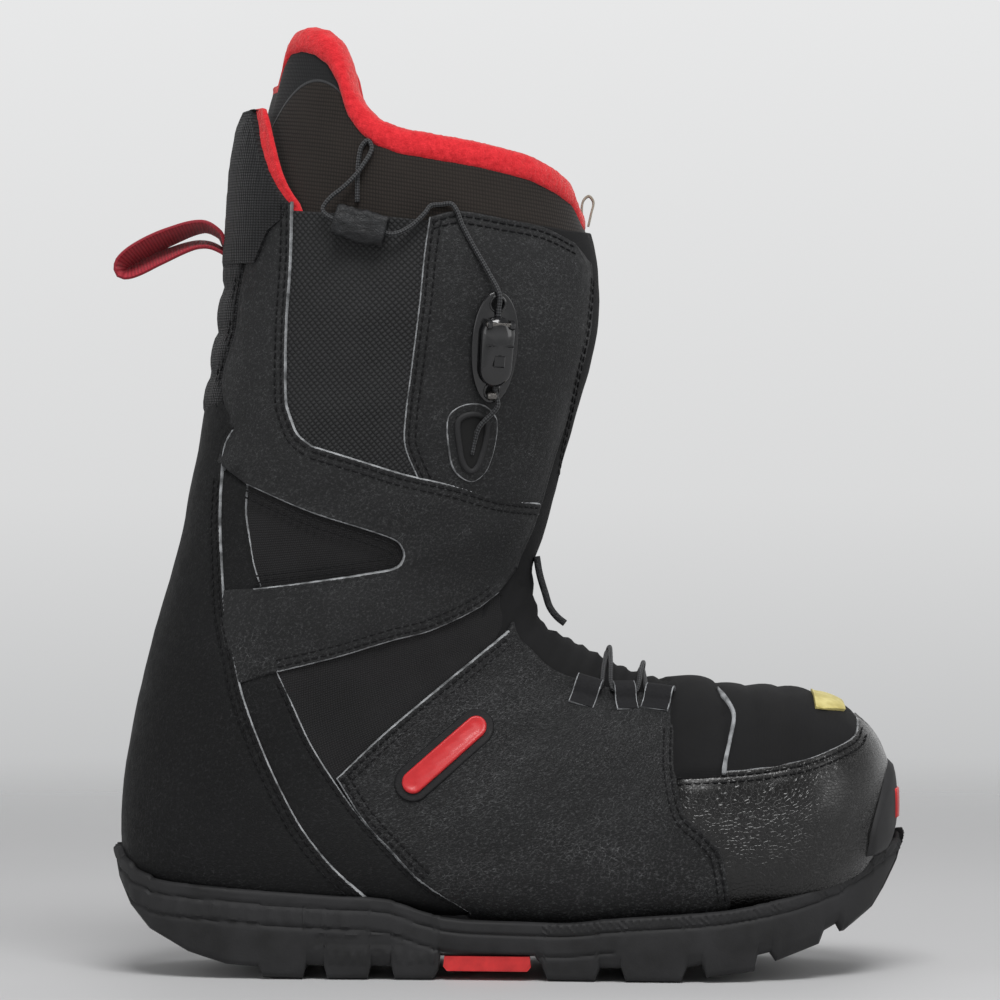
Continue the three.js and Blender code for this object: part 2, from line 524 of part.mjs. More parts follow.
// ---------------------------------------------------------------- lace lock
// An oval plate with two eyelets, and a domed lever on a pin between two ears. The cord runs
// between the plate and the lever. Local y points up the boot and z outwards.
const LOCK = { x: -6.8, z: 243, heading: 88, raise: 0.8 };
const CORD_LANE = LOCK_PLATE + GAP + LACE / 2; // the cord's middle above the plate's back
const LEVER_UNDER = LOCK_PLATE + LACE + 2 * GAP;
const HINGE = { along: 9, out: LEVER_UNDER + PIN + PIN_CLEARANCE + PIN_WALL };
const lockSeat = (side) => seat(LOCK.x, LOCK.z, side, LOCK.heading, LOCK.raise);

function lock(name, side) {
  const base = lockSeat(side);
  const slab = new THREE.ExtrudeGeometry(oval(LOCK_WIDTH, LOCK_LENGTH),
    { depth: LOCK_PLATE, bevelEnabled: false, curveSegments: 9 });
  const earX = FORK + GAP + EAR / 2;
  const earRadius = HINGE.out - LEVER_UNDER;
  let plate = solid(slab, base);
  for (const end of [-1, 1]) {
    const hole = new THREE.CylinderGeometry(EYELET, EYELET, 9, 12).rotateX(Math.PI / 2);
    plate = plate.subtract(solid(hole, moved(base, 0, end * (LOCK_LENGTH / 2 - EYELET - 2.6), 0)));
    const legHeight = HINGE.out - LOCK_PLATE / 2;
    const legMiddle = LOCK_PLATE / 2 + legHeight / 2;
    plate = plate.add(box(base, end * earX, HINGE.along, legMiddle, EAR, 2 * earRadius, legHeight))
      .add(rod(moved(base, end * earX, 0, 0), HINGE.along, HINGE.out, earRadius, EAR, 16));
  }
  const bore = rod(base, HINGE.along, HINGE.out, PIN + PIN_CLEARANCE, 40);
  add('lock_plate_' + name, plate.subtract(bore), 'gloss');
  add('lock_pin_' + name, rod(base, HINGE.along, HINGE.out, PIN, 2 * (FORK + GAP + EAR) - 0.2), 'steel');

  const rounding = 3;
  const domeShape = oval(LEVER_WIDTH - 2 * rounding, LEVER_LENGTH - 2 * rounding);
  const domeGeometry = new THREE.ExtrudeGeometry(domeShape, {
    depth: 1, bevelEnabled: true, bevelThickness: LEVER_HEIGHT - 1,
    bevelSize: rounding, bevelSegments: 3, curveSegments: 6 });
  const middle = HINGE.along + 3 - LEVER_LENGTH / 2;
  const dome = solid(domeGeometry, moved(base, 0, middle, LEVER_UNDER));
  const kept = box(base, 0, HINGE.along - 50, LEVER_UNDER + 50, 100, 100, 100);
  const shoulder = HINGE.along - earRadius - 0.5;
  const sides = [-1, 1].map((end) => box(base, end * (FORK + 25), shoulder + 25, 0, 50, 50, 50));
  const lever = dome.intersect(kept).subtract(sides[0]).subtract(sides[1])
    .add(rod(base, HINGE.along, HINGE.out, PIN + PIN_CLEARANCE + PIN_WALL, 2 * FORK, 16)).subtract(bore);
  add('lock_lever_' + name, lever, 'gloss');
}

// ---------------------------------------------------------------- cords and their fittings
const ON = LACE / 2 + GAP + 0.1; // a cord's middle above the shell it lies on
const KEEPER_AT = { x: -57, z: 289, heading: -15 };
const KEEPER_LANE = GAP + KEEPER.out / 2;

// The upper zone's cord: out of its slot, through the lock, over the cuff's edge, through the
// keeper, up into a free bight beside the leg and back down behind the keeper.
function upperLace(name, side) {
  const base = lockSeat(side);
  const keeper = seat(KEEPER_AT.x, KEEPER_AT.z, side, KEEPER_AT.heading);
  const lay = (points) => points.map(([x, z, out]) => onSide(x, z, side, out).at);
  const local = (matrix, points) =>
    points.map(([x, y, z]) => new THREE.Vector3(x, y, z).applyMatrix4(matrix));
  const points = [
    ...lay([[-15.3, 202, ON], [-14.2, 207, ON + 0.1], [-12.6, 213, ON + 1.3]]),
    ...local(base, [[-side * 2.2, -LOCK_LENGTH / 2 - 1, CORD_LANE + 0.3], [-side, -17, CORD_LANE],
    [0, -6, CORD_LANE],
      [0, 6, CORD_LANE], [0, 14, CORD_LANE], [side * 0.2, LOCK_LENGTH / 2 - 1, CORD_LANE + 0.2]]),
    ...lay([[-9, 271, ON + 1.6], [-14, 280.5, ON + 0.3], [-18.5, 289, ON], [-20.8, 295, ON - 0.2],
    [-22.8, 297.6, 0.2], [-26.5, 297.4, -1],
      [-30.5, 296.8, 0], [-33, 293.6, ON], [-38.4, 288.6, ON + 0.6]]),
    ...local(keeper, [[0, 13, KEEPER_LANE], [0, 7, KEEPER_LANE], [0, 0, KEEPER_LANE],
    [0, -7, KEEPER_LANE], [0, -11.5, KEEPER_LANE]]),
    ...lay([[-70.8, 295.2, KEEPER_LANE], [-68.5, 299.5, KEEPER_LANE - 0.6], [-64, 303.5, 1.6],
    [-59.6, 308, 0.9], [-56.1, 313, 0],
      [-53.2, 319, -1.2], [-54.8, 322.2, -1.6], [-57.6, 319, -1.7], [-58.8, 309, -1.7],
      [-58.9, 298.4, -1.6]]),
  ];
  add('lace_upper_' + name, tube(points, LACE / 2, 58), 'cord');
}

const SLOT = [[-20.4, 214.5], [-17, 217], [-12, 217], [-9.4, 213.6], [-12.4, 199], [-15.4, 195.4],
  [-18.2, 197.5], [-20, 205]];

function lacing() {
  for (const [name, side] of Object.entries(SIDE)) {
    lock(name, side);
    upperLace(name, side);
    const hole = shrink(SLOT.map(([x, z]) => new THREE.Vector2(x, z)), 2.2).map((p) => [p.x, p.y]);
    add('lace_slot_' + name, onShell(SLOT, side, 0.9).subtract(across(hole)), 'gloss');
    const keeper = seat(KEEPER_AT.x, KEEPER_AT.z, side, KEEPER_AT.heading);
    const block = box(keeper, 0, 0, GAP + KEEPER.out / 2, KEEPER.height, KEEPER.length, KEEPER.out);
    add('lace_keeper_' + name, block
      .subtract(box(keeper, 0, 0, KEEPER_LANE, KEEPER.channel, 50, KEEPER.channel)), 'leather');
  }
}

// The lower zone: three webbing guides on each side of the instep, and two cords crossing between.
const GUIDE_X = [58, 44, 30];
const GUIDE_OFF = EYESTAY + 1 + GUIDE.width / 2;

function lowerZone() {
  const forward = new THREE.Vector3(1, 0, 0);
  const lane = GAP + GUIDE.out / 2;
  const opening = GUIDE.out - 2 * GUIDE.wall;
  for (const [name, side] of Object.entries(SIDE)) {
    GUIDE_X.forEach((x, i) => {
      const at = frameAt(onTop(x, side * GUIDE_OFF, GAP), forward);
      add('lace_guide_' + name + '_' + (i + 1), box(at, 0, 0, lane, GUIDE.width, GUIDE.length, GUIDE.out)
        .subtract(box(at, 0, 0, lane, GUIDE.width - 2 * GUIDE.wall, 50, opening)), 'leather');
    });
  }
  const ends = GUIDE.length / 2 + 1;
  [['a', -1, 0], ['b', 1, LACE + 2 * GAP]].forEach(([name, start, over]) => {
    const points = [];
    GUIDE_X.forEach((x, i) => {
      const side = i % 2 ? -start : start;
      const y = side * GUIDE_OFF;
      const middle = lane + GAP;
      points.push([x + (i ? ends : 2.5), y, middle], [x, y, middle],
        [x - (i < 2 ? ends : 2.5), y, middle]);
      if (i === 2) return;
      const next = GUIDE_X[i + 1];
      points.push([mix(x, next, 0.42), y * 0.6, lane + over], [mix(x, next, 0.5), 0, ON + over],
        [mix(x, next, 0.58), -y * 0.6, lane + over]);
    });
    const route = points.map(([x, y, out]) => onTop(x, y, out).at);
    add('lace_lower_' + name, tube(route, LACE / 2, 38), 'cord');
  });
}

// ---------------------------------------------------------------- loops, badge and label
// A webbing strip that follows a side-view path, centred on a distance off the middle plane.
function web(path, width, thick, count, off = 0) {
  const curve = new THREE.CatmullRomCurve3(path.map(([x, z]) => new THREE.Vector3(x * KX, z * KZ, 0)));
  const line = curve.getSpacedPoints(count);
  const edge = (offset) => line.map((p, i) => {
    const t = line[Math.min(i + 1, count)].clone().sub(line[Math.max(i - 1, 0)]).normalize();
    return new THREE.Vector2(p.x - t.y * offset, p.y + t.x * offset);
  });
  const shape = new THREE.Shape([...edge(thick / 2), ...reversed(edge(-thick / 2))]);
  return solid(new THREE.ExtrudeGeometry(shape, { depth: width, bevelEnabled: false }),
    new THREE.Matrix4().makeRotationX(Math.PI / 2).setPosition(0, off + width / 2, 0));
}

function loops() {
  add('heel_pull_loop', web([[-112, 283], [-113.6, 288.6], [-121, 292.4], [-134, 288.6], [-146, 282.5],
    [-152.3, 277.4],
    [-152.5, 274.2], [-148, 274.6], [-138, 279], [-125, 284], [-118.5, 284.2], [-114.2, 280.8]],
    LOOP_WIDTH, LOOP_WEB, 30), 'red');
  add('liner_pull_loop', web([[28.9, 293], [28.2, 298], [28.8, 302], [31, 303.6], [32.6, 301.5],
    [31.9, 297], [30.8, 293]], 6, 0.9, 16), 'beige');
  const strap = web([[10.2, 162], [11.6, 154], [14.4, 146], [15.6, 142.6]], 5, 1.2, 6, -4);
  const grip = web([[12, 146.6], [13.8, 141.8], [17, 138.4], [20.2, 136.4]], 9, 3.2, 6, -4);
  add('ankle_pull_tab', strap.add(grip), 'leather');
}

function badges() {
  const badge = pill(-25.5, 85.5, BADGE.length, BADGE.width, 41);
  add('side_badge', onShell(badge, SIDE.lateral, BADGE.out), 'red');
  const label = [[118.5, 109.5], [118.5, 103], [130.5, 101.5], [130.5, 108]];
  add('size_label', onShell(label, SIDE.lateral, PATCH), 'yellow');
}

footPanels();
cuffPanels();
rearCollar();
liner();
sole();
lacing();
lowerZone();
loops();
badges();

// ---------------------------------------------------------------- assembly
const LOOKS = {
  matte: [0x17181a, 0.75], gloss: [0x0c0c0d, 0.25], leather: [0x1d1e20, 0.6], nylon: [0x141414, 0.85],
  fabric: [0x1b1a1b, 0.9], mesh: [0x161617, 0.9], rib: [0x181a1b, 0.9], foam: [0x1a1816, 0.95],
  fleece: [0xe0312c, 1], board: [0x8c8478, 0.9], rubber: [0x1b1b1c, 0.7], eva: [0x2b2b2d, 0.9],
    gel: [0x7a1f24, 0.4],
  red: [0xd8262c, 0.5], steel: [0x9a9c9f, 0.3], cord: [0x101011, 0.7], beige: [0xb5ab96, 0.8],
    yellow: [0xe3cf62, 0.6],
};

function meshOf({ name, solid: made, look }) {
  const { numProp, vertProperties, triVerts } = made.getMesh();
  const geometry = new THREE.BufferGeometry();
  geometry.setAttribute('position', new THREE.BufferAttribute(new Float32Array(vertProperties), numProp));
  geometry.setIndex(new THREE.BufferAttribute(new Uint32Array(triVerts), 1));
  const [color, roughness] = LOOKS[look];
  const metalness = look === 'steel' ? 1 : 0;
  const mesh = new THREE.Mesh(geometry, new THREE.MeshStandardMaterial({ color, roughness, metalness }));
  mesh.name = name;
  return mesh;
}

const boot = new THREE.Group();
boot.add(...pieces.map(meshOf));

export default boot;
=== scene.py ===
from math import cos, pi, radians, sin

import bmesh
import bpy
import numpy as np
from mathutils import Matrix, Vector, noise
from mathutils.bvhtree import BVHTree
from mathutils.geometry import delaunay_2d_cdt


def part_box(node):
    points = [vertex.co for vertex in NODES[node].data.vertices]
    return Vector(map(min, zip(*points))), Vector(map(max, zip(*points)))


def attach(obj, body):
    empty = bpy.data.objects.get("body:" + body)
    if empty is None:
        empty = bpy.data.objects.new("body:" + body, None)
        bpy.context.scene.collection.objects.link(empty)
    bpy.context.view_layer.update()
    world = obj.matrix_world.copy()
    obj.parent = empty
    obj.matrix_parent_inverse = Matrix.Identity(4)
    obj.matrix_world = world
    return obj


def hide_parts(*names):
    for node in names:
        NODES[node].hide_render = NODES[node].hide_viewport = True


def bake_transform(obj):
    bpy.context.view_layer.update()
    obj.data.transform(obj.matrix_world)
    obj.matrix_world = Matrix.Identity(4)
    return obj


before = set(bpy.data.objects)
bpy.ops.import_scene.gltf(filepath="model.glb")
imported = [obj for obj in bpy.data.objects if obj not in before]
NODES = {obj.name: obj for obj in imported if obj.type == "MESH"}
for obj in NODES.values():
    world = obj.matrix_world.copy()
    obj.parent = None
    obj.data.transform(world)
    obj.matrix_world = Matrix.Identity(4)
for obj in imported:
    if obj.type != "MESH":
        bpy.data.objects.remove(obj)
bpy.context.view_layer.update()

MM = 0.001
SOLE_LOW, SOLE_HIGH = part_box("outsole")
KX = (SOLE_HIGH[0] - SOLE_LOW[0]) / 310
KY = (SOLE_HIGH[1] - SOLE_LOW[1]) / 121
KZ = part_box("liner_collar_trim")[1][2] / 365.85
K = np.array([KX, KY, KZ])

# ------------------------------------------------------------------ camera, lights, floor
FAR = 1.9  # camera to the plane that the photo's scale was read in
PLANE = -0.015
VIEW_WIDTH = 0.391  # what the picture spans in that plane
VIEW_X, VIEW_Z = -0.0040, 0.1842
SENSOR = 36
FLOOR_RADIUS, FLOOR_DEPTH, FLOOR_FADE = 1.7, -0.0003, 0.45


def camera():
    """The photo's view: square on to the lateral side."""
    data = bpy.data.cameras.new("camera")
    data.sensor_width = SENSOR
    data.lens = SENSOR * FAR / VIEW_WIDTH
    data.clip_start = 0.05
    data.clip_end = 50
    cam = bpy.data.objects.new("camera", data)
    bpy.context.scene.collection.objects.link(cam)
    cam.location = (VIEW_X, PLANE - FAR, VIEW_Z)
    cam.rotation_euler = (pi / 2, 0, 0)
    bpy.context.scene.camera = cam


def area(name, place, aim, size, power):
    """A soft rectangular lamp that the camera doesn't see."""
    data = bpy.data.lights.new(name, "AREA")
    data.shape = "RECTANGLE"
    data.size, data.size_y = size
    data.energy = power
    lamp = bpy.data.objects.new(name, data)
    bpy.context.scene.collection.objects.link(lamp)
    lamp.location = place
    lamp.rotation_euler = (Vector(aim) - Vector(place)).to_track_quat("-Z", "Y").to_euler()
    lamp.visible_camera = False


def surroundings():
    """A pale studio all round: brighter above the horizon than below it."""
    world = bpy.data.worlds.new("studio")
    world.use_nodes = True
    nodes, links = world.node_tree.nodes, world.node_tree.links
    split = nodes.new("ShaderNodeSeparateXYZ")
    links.new(nodes.new("ShaderNodeTexCoord").outputs["Generated"], split.inputs[0])
    ramp = nodes.new("ShaderNodeValToRGB")
    height = nodes.new("ShaderNodeMapRange")
    for name, value in (("From Min", -0.07), ("From Max", 1.0)):
        height.inputs[name].default_value = value
    links.new(split.outputs[2], height.inputs["Value"])
    links.new(height.outputs["Result"], ramp.inputs[0])
    ramp.color_ramp.elements[0].color = (0.50, 0.505, 0.51, 1)
    ramp.color_ramp.elements[1].color = (0.16, 0.16, 0.165, 1)
    for place, tone in ((0.066, 0.70), (0.168, 0.81), (0.33, 0.60), (0.55, 0.28)):
        ramp.color_ramp.elements.new(place).color = (tone, tone * 1.004, tone * 1.008, 1)
    links.new(ramp.outputs[0], nodes["Background"].inputs[0])
    bpy.context.scene.world = world


def studio():
    """Four soft lamps, and a round pale floor that fades out into the surroundings."""
    surroundings()
    bpy.context.scene.view_settings.view_transform = "Standard"
    area("key", (0.15, -1.0, 1.8), (0.02, 0, 0.12), (1.1, 0.8), 30)
    area("side", (-1.5, -0.9, 0.9), (0, 0, 0.2), (0.8, 1.2), 3.5)
    area("back", (0.3, 1.3, 1.6), (0, 0, 0.2), (1.4, 0.9), 5)
    area("toe", (1.5, -0.6, 0.8), (0.05, 0, 0.1), (0.7, 1.0), 3.5)
    count, rings = 64, 12
    verts = [(0.0, 0.0, FLOOR_DEPTH)]
    for r in range(1, rings + 1):
        verts += [(FLOOR_RADIUS * r / rings * cos(2 * pi * k / count),
                   FLOOR_RADIUS * r / rings * sin(2 * pi * k / count), FLOOR_DEPTH) for k in range(count)]
    faces = [(0, 1 + k, 1 + (k + 1) % count) for k in range(count)]
    for r in range(rings - 1):
        base = 1 + r * count
        faces += [(base + k, base + count + k, base + count + (k + 1) % count, base + (k + 1) % count)
                  for k in range(count)]
    floor = mesh_object("floor", verts, faces)
    tree = Tree("floor_paper", 0.62, 0.35)
    place = tree.place()
    tree.colour(tree.mix(tree.noise(place, 3.0, 2.0), (0.54, 0.54, 0.545), (0.57, 0.57, 0.575)))
    reach = tree.node("VectorMath", {0: place}, operation="LENGTH").outputs["Value"]
    fade = tree.node("MapRange", {"Value": reach, "From Min": FLOOR_FADE, "From Max": FLOOR_RADIUS * 0.98},
                     interpolation_type="SMOOTHSTEP").outputs["Result"]
    output = tree.nodes["Material Output"]
    clear = tree.node("BsdfTransparent").outputs[0]
    blend = tree.node("MixShader", {0: fade, 1: tree.shader.outputs[0], 2: clear})
    tree.links.new(blend.outputs[0], output.inputs["Surface"])
    floor.data.materials.append(tree.material)


# ------------------------------------------------------------------ mesh helpers
def mesh_object(name, verts, faces, smooth=True, sharp=None):
    """A linked mesh object; sharp is the angle in degrees above which its edges stay hard."""
    mesh = bpy.data.meshes.new(name)
    mesh.from_pydata([tuple(v) for v in verts], [], [tuple(f) for f in faces])
    mesh.validate()
    mesh.update()
    if smooth:
        mesh.shade_smooth()
        if sharp:
            mesh.set_sharp_from_angle(angle=radians(sharp))
    piece = bpy.data.objects.new(name, mesh)
    bpy.context.scene.collection.objects.link(piece)
    return piece


def attribute(piece, name, values, kind="FLOAT"):
    """Stores one value or vector for each point."""
    made = piece.data.attributes.new(name, kind, "POINT")
    key = "value" if kind == "FLOAT" else "vector"
    made.data.foreach_set(key, np.asarray(values, np.float32).ravel())


def finish_piece(piece, material, body, nodes=()):
    """Material and body of a piece, and hides the nodes it stands in for; a piece of body 'blend' stays
    unparented, its placement baked into the mesh.
    """
    piece.data.materials.append(material)
    if body == "blend":
        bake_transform(piece)
    else:
        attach(piece, body)
    if nodes:
        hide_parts(*nodes)
    return piece


# ------------------------------------------------------------------ the boot's outer form
# back x, z, front x, z, half width, widest share, roundness below, above, sideways shift, liner room
SECTIONS = np.array([
    [-97, 378, 31, 362, 51, 0.46, 2.2, 2.3, 0, 8],
    [-104, 345, 30, 326, 53.5, 0.46, 2.2, 2.3, 0, 8],
    [-108.5, 312, 29.5, 300, 56, 0.46, 2.2, 2.3, 0, 7.5],
    [-110.5, 285, 34, 277, 57, 0.46, 2.2, 2.3, 0, 5],
    [-114, 256, 34, 252, 57, 0.46, 2.2, 2.3, 0, 1.5],
    [-118.5, 228, 28.5, 228, 55.5, 0.45, 2.2, 2.3, 0, 0],
    [-123, 198, 20.5, 200, 53, 0.44, 2.2, 2.2, 0, 0],
    [-129, 168, 14.5, 176, 50.5, 0.43, 2.2, 2.1, 0, 0],
    [-138, 135, 8.5, 157, 48.5, 0.42, 2.3, 2.0, 0, 0],
    [-147, 98, 12, 137, 47.5, 0.4, 2.3, 1.9, 0, 0],
    [-152, 62, 22, 130, 46.5, 0.38, 2.4, 1.85, 0, 0],
    [-146, 34, 31, 125, 46, 0.36, 2.6, 1.85, -0.5, 0],
    [-116, 24, 40, 120.5, 47, 0.34, 2.9, 1.9, -1, 0],
    [-70, 22, 50, 116, 49, 0.33, 3.1, 1.95, -2, 0],
    [-18, 18, 62, 113, 52, 0.33, 3.3, 2.05, -1.5, 0],
    [35, 15, 76, 113, 56.5, 0.34, 3.4, 2.2, 0, 0],
    [68, 15, 85, 112, 58, 0.35, 3.4, 2.3, 0.5, 0],
    [94, 17, 96, 111, 57.5, 0.36, 3.2, 2.4, 1, 0],
])
LAST = len(SECTIONS) - 1
TOE = {"tip": 150, "height": 64, "width": 2.3, "top": 2.5, "bottom": 1.9, "shift": 7}


def catmull(rows, s):
    """A row of the section table at place s."""
    i = min(int(s), LAST - 1)
    t = s - i
    a, b, c, d = (rows[min(max(k, 0), LAST)] for k in (i - 1, i, i + 1, i + 2))
    return 0.5 * (2 * b + (c - a) * t + (2 * a - 5 * b + 4 * c - d) * t * t + (3 * b - a - 3 * c + d) * t**3)


def bulge(q, e):
    """A superellipse quarter."""
    return np.maximum(0, 1 - np.clip(q, 0, 1) ** e) ** (1 / e)


def section(s, inset, liner=0.0):
    """Back point, front point, half width and the rest of a section, in scaled millimetres."""
    row = catmull(SECTIONS, min(s, LAST))
    back = np.array([row[0] * KX, row[1] * KZ]) / MM
    front = np.array([row[2] * KX, row[3] * KZ]) / MM
    axis = (front - back) / np.linalg.norm(front - back)
    back = back + axis * inset
    front = front - axis * inset
    w = row[4] * KY / MM - inset
    shift = row[8] * KY / MM
    if s > LAST:
        q = sin((s - LAST) * pi / 2)
        tip = TOE["tip"] * KX / MM - inset
        mid = TOE["height"] * KZ / MM
        front = np.array([front[0] + (tip - front[0]) * q, mid + (front[1] - mid) * bulge(q, TOE["top"])])
        back = np.array([back[0] + (tip - back[0]) * q, mid - (mid - back[1]) * bulge(q, TOE["bottom"])])
        w *= bulge(q, TOE["width"])
        shift += (TOE["shift"] * KY / MM - shift) * q
    return back, front, w, row[5], row[6], row[7], shift, row[9] * liner


def half_width(sec, a):
    """Half width of a section at shares a from its back to its front."""
    w, wide, under, over = sec[2], sec[3], sec[4], sec[5]
    q = np.where(a < wide, (wide - a) / wide, (a - wide) / (1 - wide))
    return w * np.where(a < wide, bulge(q, under), bulge(q, over))


class Surface:
    """The form at one depth as a table over place s (top to toe) and turn u (0 front, +-1 back)."""

    ROWS = 520
    HALF = 110

    def __init__(self, inset=0.0, liner=0.0):
        self.s = np.concatenate([
            np.linspace(0, LAST, self.ROWS - 90, endpoint=False),
            LAST + np.linspace(0, 1, 90),
        ])
        self.s[-1] = LAST + 0.9995
        table = []
        self.shares = []
        for s in self.s:
            sec = section(s, inset, liner)
            fine = (1 - np.cos(np.linspace(0, pi, 400))) / 2
            y = half_width(sec, fine)
            length = np.linalg.norm(sec[1] - sec[0])
            run = np.concatenate([[0], np.cumsum(np.hypot(np.diff(fine) * length, np.diff(y)))])
            want = np.linspace(0, run[-1], self.HALF + 1)
            a = np.interp(want, run, fine)
            self.shares.append(a)
            y = np.interp(want, run, y)
            axis = (sec[1] - sec[0]) / max(length, 1e-9)
            p = sec[0] + np.outer(a, sec[1] - sec[0]) + np.outer((1 - a) ** 2, axis * sec[7])
            lateral = np.stack([p[:, 0], sec[6] - y, p[:, 1]], 1)
            medial = np.stack([p[:, 0], sec[6] + y, p[:, 1]], 1)
            table.append(np.concatenate([lateral, medial[::-1][1:]]) * MM)
        self.shares = np.array(self.shares)
        self.p = np.array(table)
        n = self.p.shape[1]
        wrap = np.concatenate([self.p[:, -3:-1], self.p, self.p[:, 1:3]], 1)
        du = wrap[:, 4:] - wrap[:, :-4]
        ds = np.gradient(self.p, axis=0)
        normal = np.cross(ds, du)
        size = np.linalg.norm(normal, axis=2, keepdims=True)
        normal = normal / np.maximum(size, 1e-15)
        side = np.sign(np.sum(normal[200, n // 4] * np.array([0, -1, 0])))
        self.n = normal * side
        self.n[-3:] = self.n[-4]
        mid = self.p[:, self.HALF // 2]
        self.run = np.concatenate([[0], np.cumsum(np.linalg.norm(np.diff(mid, axis=0), axis=1))])

    def _look(self, table, u, s):
        u = (np.asarray(u, float) + 1) % 2 - 1
        col = (1 - np.abs(u)) * self.HALF
        col = np.where(u < 0, col, 2 * self.HALF - col)
        row = np.interp(s, self.s, np.arange(len(self.s)))
        i = np.clip(row.astype(int), 0, len(self.s) - 2)
        j = np.clip(col.astype(int), 0, 2 * self.HALF - 1)
        fi = (row - i)[:, None]
        fj = (col - j)[:, None]
        return ((table[i, j] * (1 - fj) + table[i, j + 1] * fj) * (1 - fi)
                + (table[i + 1, j] * (1 - fj) + table[i + 1, j + 1] * fj) * fi)

    def at(self, u, s, h=0.0):
        u, s = np.atleast_1d(u).astype(float), np.atleast_1d(s).astype(float)
        h = np.broadcast_to(np.asarray(h, float), u.shape)
        return self._look(self.p, u, s) + self.normal(u, s) * h[:, None]

    def normal(self, u, s):
        n = self._look(self.n, np.atleast_1d(u), np.atleast_1d(s))
        return n / np.linalg.norm(n, axis=1, keepdims=True)

    def turn_at(self, s, half):
        """The lateral turn where the form in front is half millimetres off its middle."""
        row = int(round(np.interp(s, self.s, np.arange(len(self.s)))))
        y = (self.p[row, self.HALF, 1] - self.p[row, self.HALF // 2:self.HALF + 1, 1])[::-1]
        return -np.interp(half * MM, y, np.linspace(0, 0.5, len(y)))

    def find(self, x, z):
        """(u, s) of the lateral side's point seen at design place (x, z); u is negative."""
        p = np.array([x * KX, z * KZ]) / MM
        low, high = 0.0, LAST + 0.98
        for _ in range(34):
            s = (low + high) / 2
            sec = section(s, 0)
            d = sec[1] - sec[0]
            r = p - sec[0]
            if d[0] * r[1] - d[1] * r[0] < 0:
                low = s
            else:
                high = s
        sec = section(low, 0)
        d = sec[1] - sec[0]
        share = float(np.clip(np.dot(p - sec[0], d) / np.dot(d, d), 0, 1))
        row = int(round(np.interp(low, self.s, np.arange(len(self.s)))))
        turn = np.interp(share, self.shares[row], np.linspace(0, 1, self.HALF + 1))
        return turn - 1.0, low


SHELL = Surface()
# turn and place: u = -1 is the back on the lateral side, u = 0 the front, u = +1 the back again


def smooth_path(points, step=2.0, closed=False, whole=round):
    """A smooth curve through points, for outlines and cords drawn with few of them."""
    p = np.array(points, float)
    n = len(p)
    out = []
    for i in range(n if closed else n - 1):
        if closed:
            a, b, c, d = (p[(i + k) % n] for k in (-1, 0, 1, 2))
        else:
            a, b, c, d = (p[min(max(i + k, 0), n - 1)] for k in (-1, 0, 1, 2))
        length = np.linalg.norm(c - b)
        m = max(1, int(whole(length / step)))
        ma = (c - a) / max(np.linalg.norm(c - b) + np.linalg.norm(b - a), 1e-9) * length
        mb = (d - b) / max(np.linalg.norm(d - c) + np.linalg.norm(c - b), 1e-9) * length
        for k in range(m):
            t = k / m
            out.append((2 * t**3 - 3 * t**2 + 1) * b + (t**3 - 2 * t**2 + t) * ma
                       + (-2 * t**3 + 3 * t**2) * c + (t**3 - t**2) * mb)
    if not closed:
        out.append(p[-1])
    return [tuple(q) for q in out]


def inside(points, outline):
    """Which points lie inside a closed outline."""
    x, y = points[:, 0], points[:, 1]
    hit = np.zeros(len(points), bool)
    n = len(outline)
    for i in range(n):
        x0, y0 = outline[i]
        x1, y1 = outline[(i + 1) % n]
        if y0 == y1:
            continue
        cross = (y0 > y) != (y1 > y)
        hit ^= cross & (x < (x1 - x0) * (y - y0) / (y1 - y0) + x0)
    return hit


def nearest(points, targets, chunk=600):
    """Distance of each point to the closest point of a dense line, and which point that is."""
    best = np.empty(len(points))
    where = np.empty(len(points), int)
    for i in range(0, len(points), chunk):
        d = np.linalg.norm(points[i:i + chunk, None] - targets[None], axis=2)
        where[i:i + chunk] = d.argmin(1)
        best[i:i + chunk] = d.min(1)
    return best, where


RINGS = (0.35, 0.8, 1.5, 2.3, 3.1, 4.0, 5.2, 6.6)  # rows of points beside a finished edge, mm from it
GRID = 4.2  # spacing of the points in the open, mm
RING_ROOM, GRID_ROOM = 0.86, 0.45  # shares of those distances that must be free
TURN_LENGTH = 0.2  # metres given to one unit of turn when a panel is laid flat
CDT_SCALE = 1000.0
NO_EDGE, NO_LINE = 50.0, 99.0  # distances for panels without such an edge
SIMULATED = 14  # frames
STITCH_TRENCH = 0.22


def flat_metric(u, s):
    return np.stack([np.asarray(u) * TURN_LENGTH, np.interp(s, SHELL.s, SHELL.run)], 1)


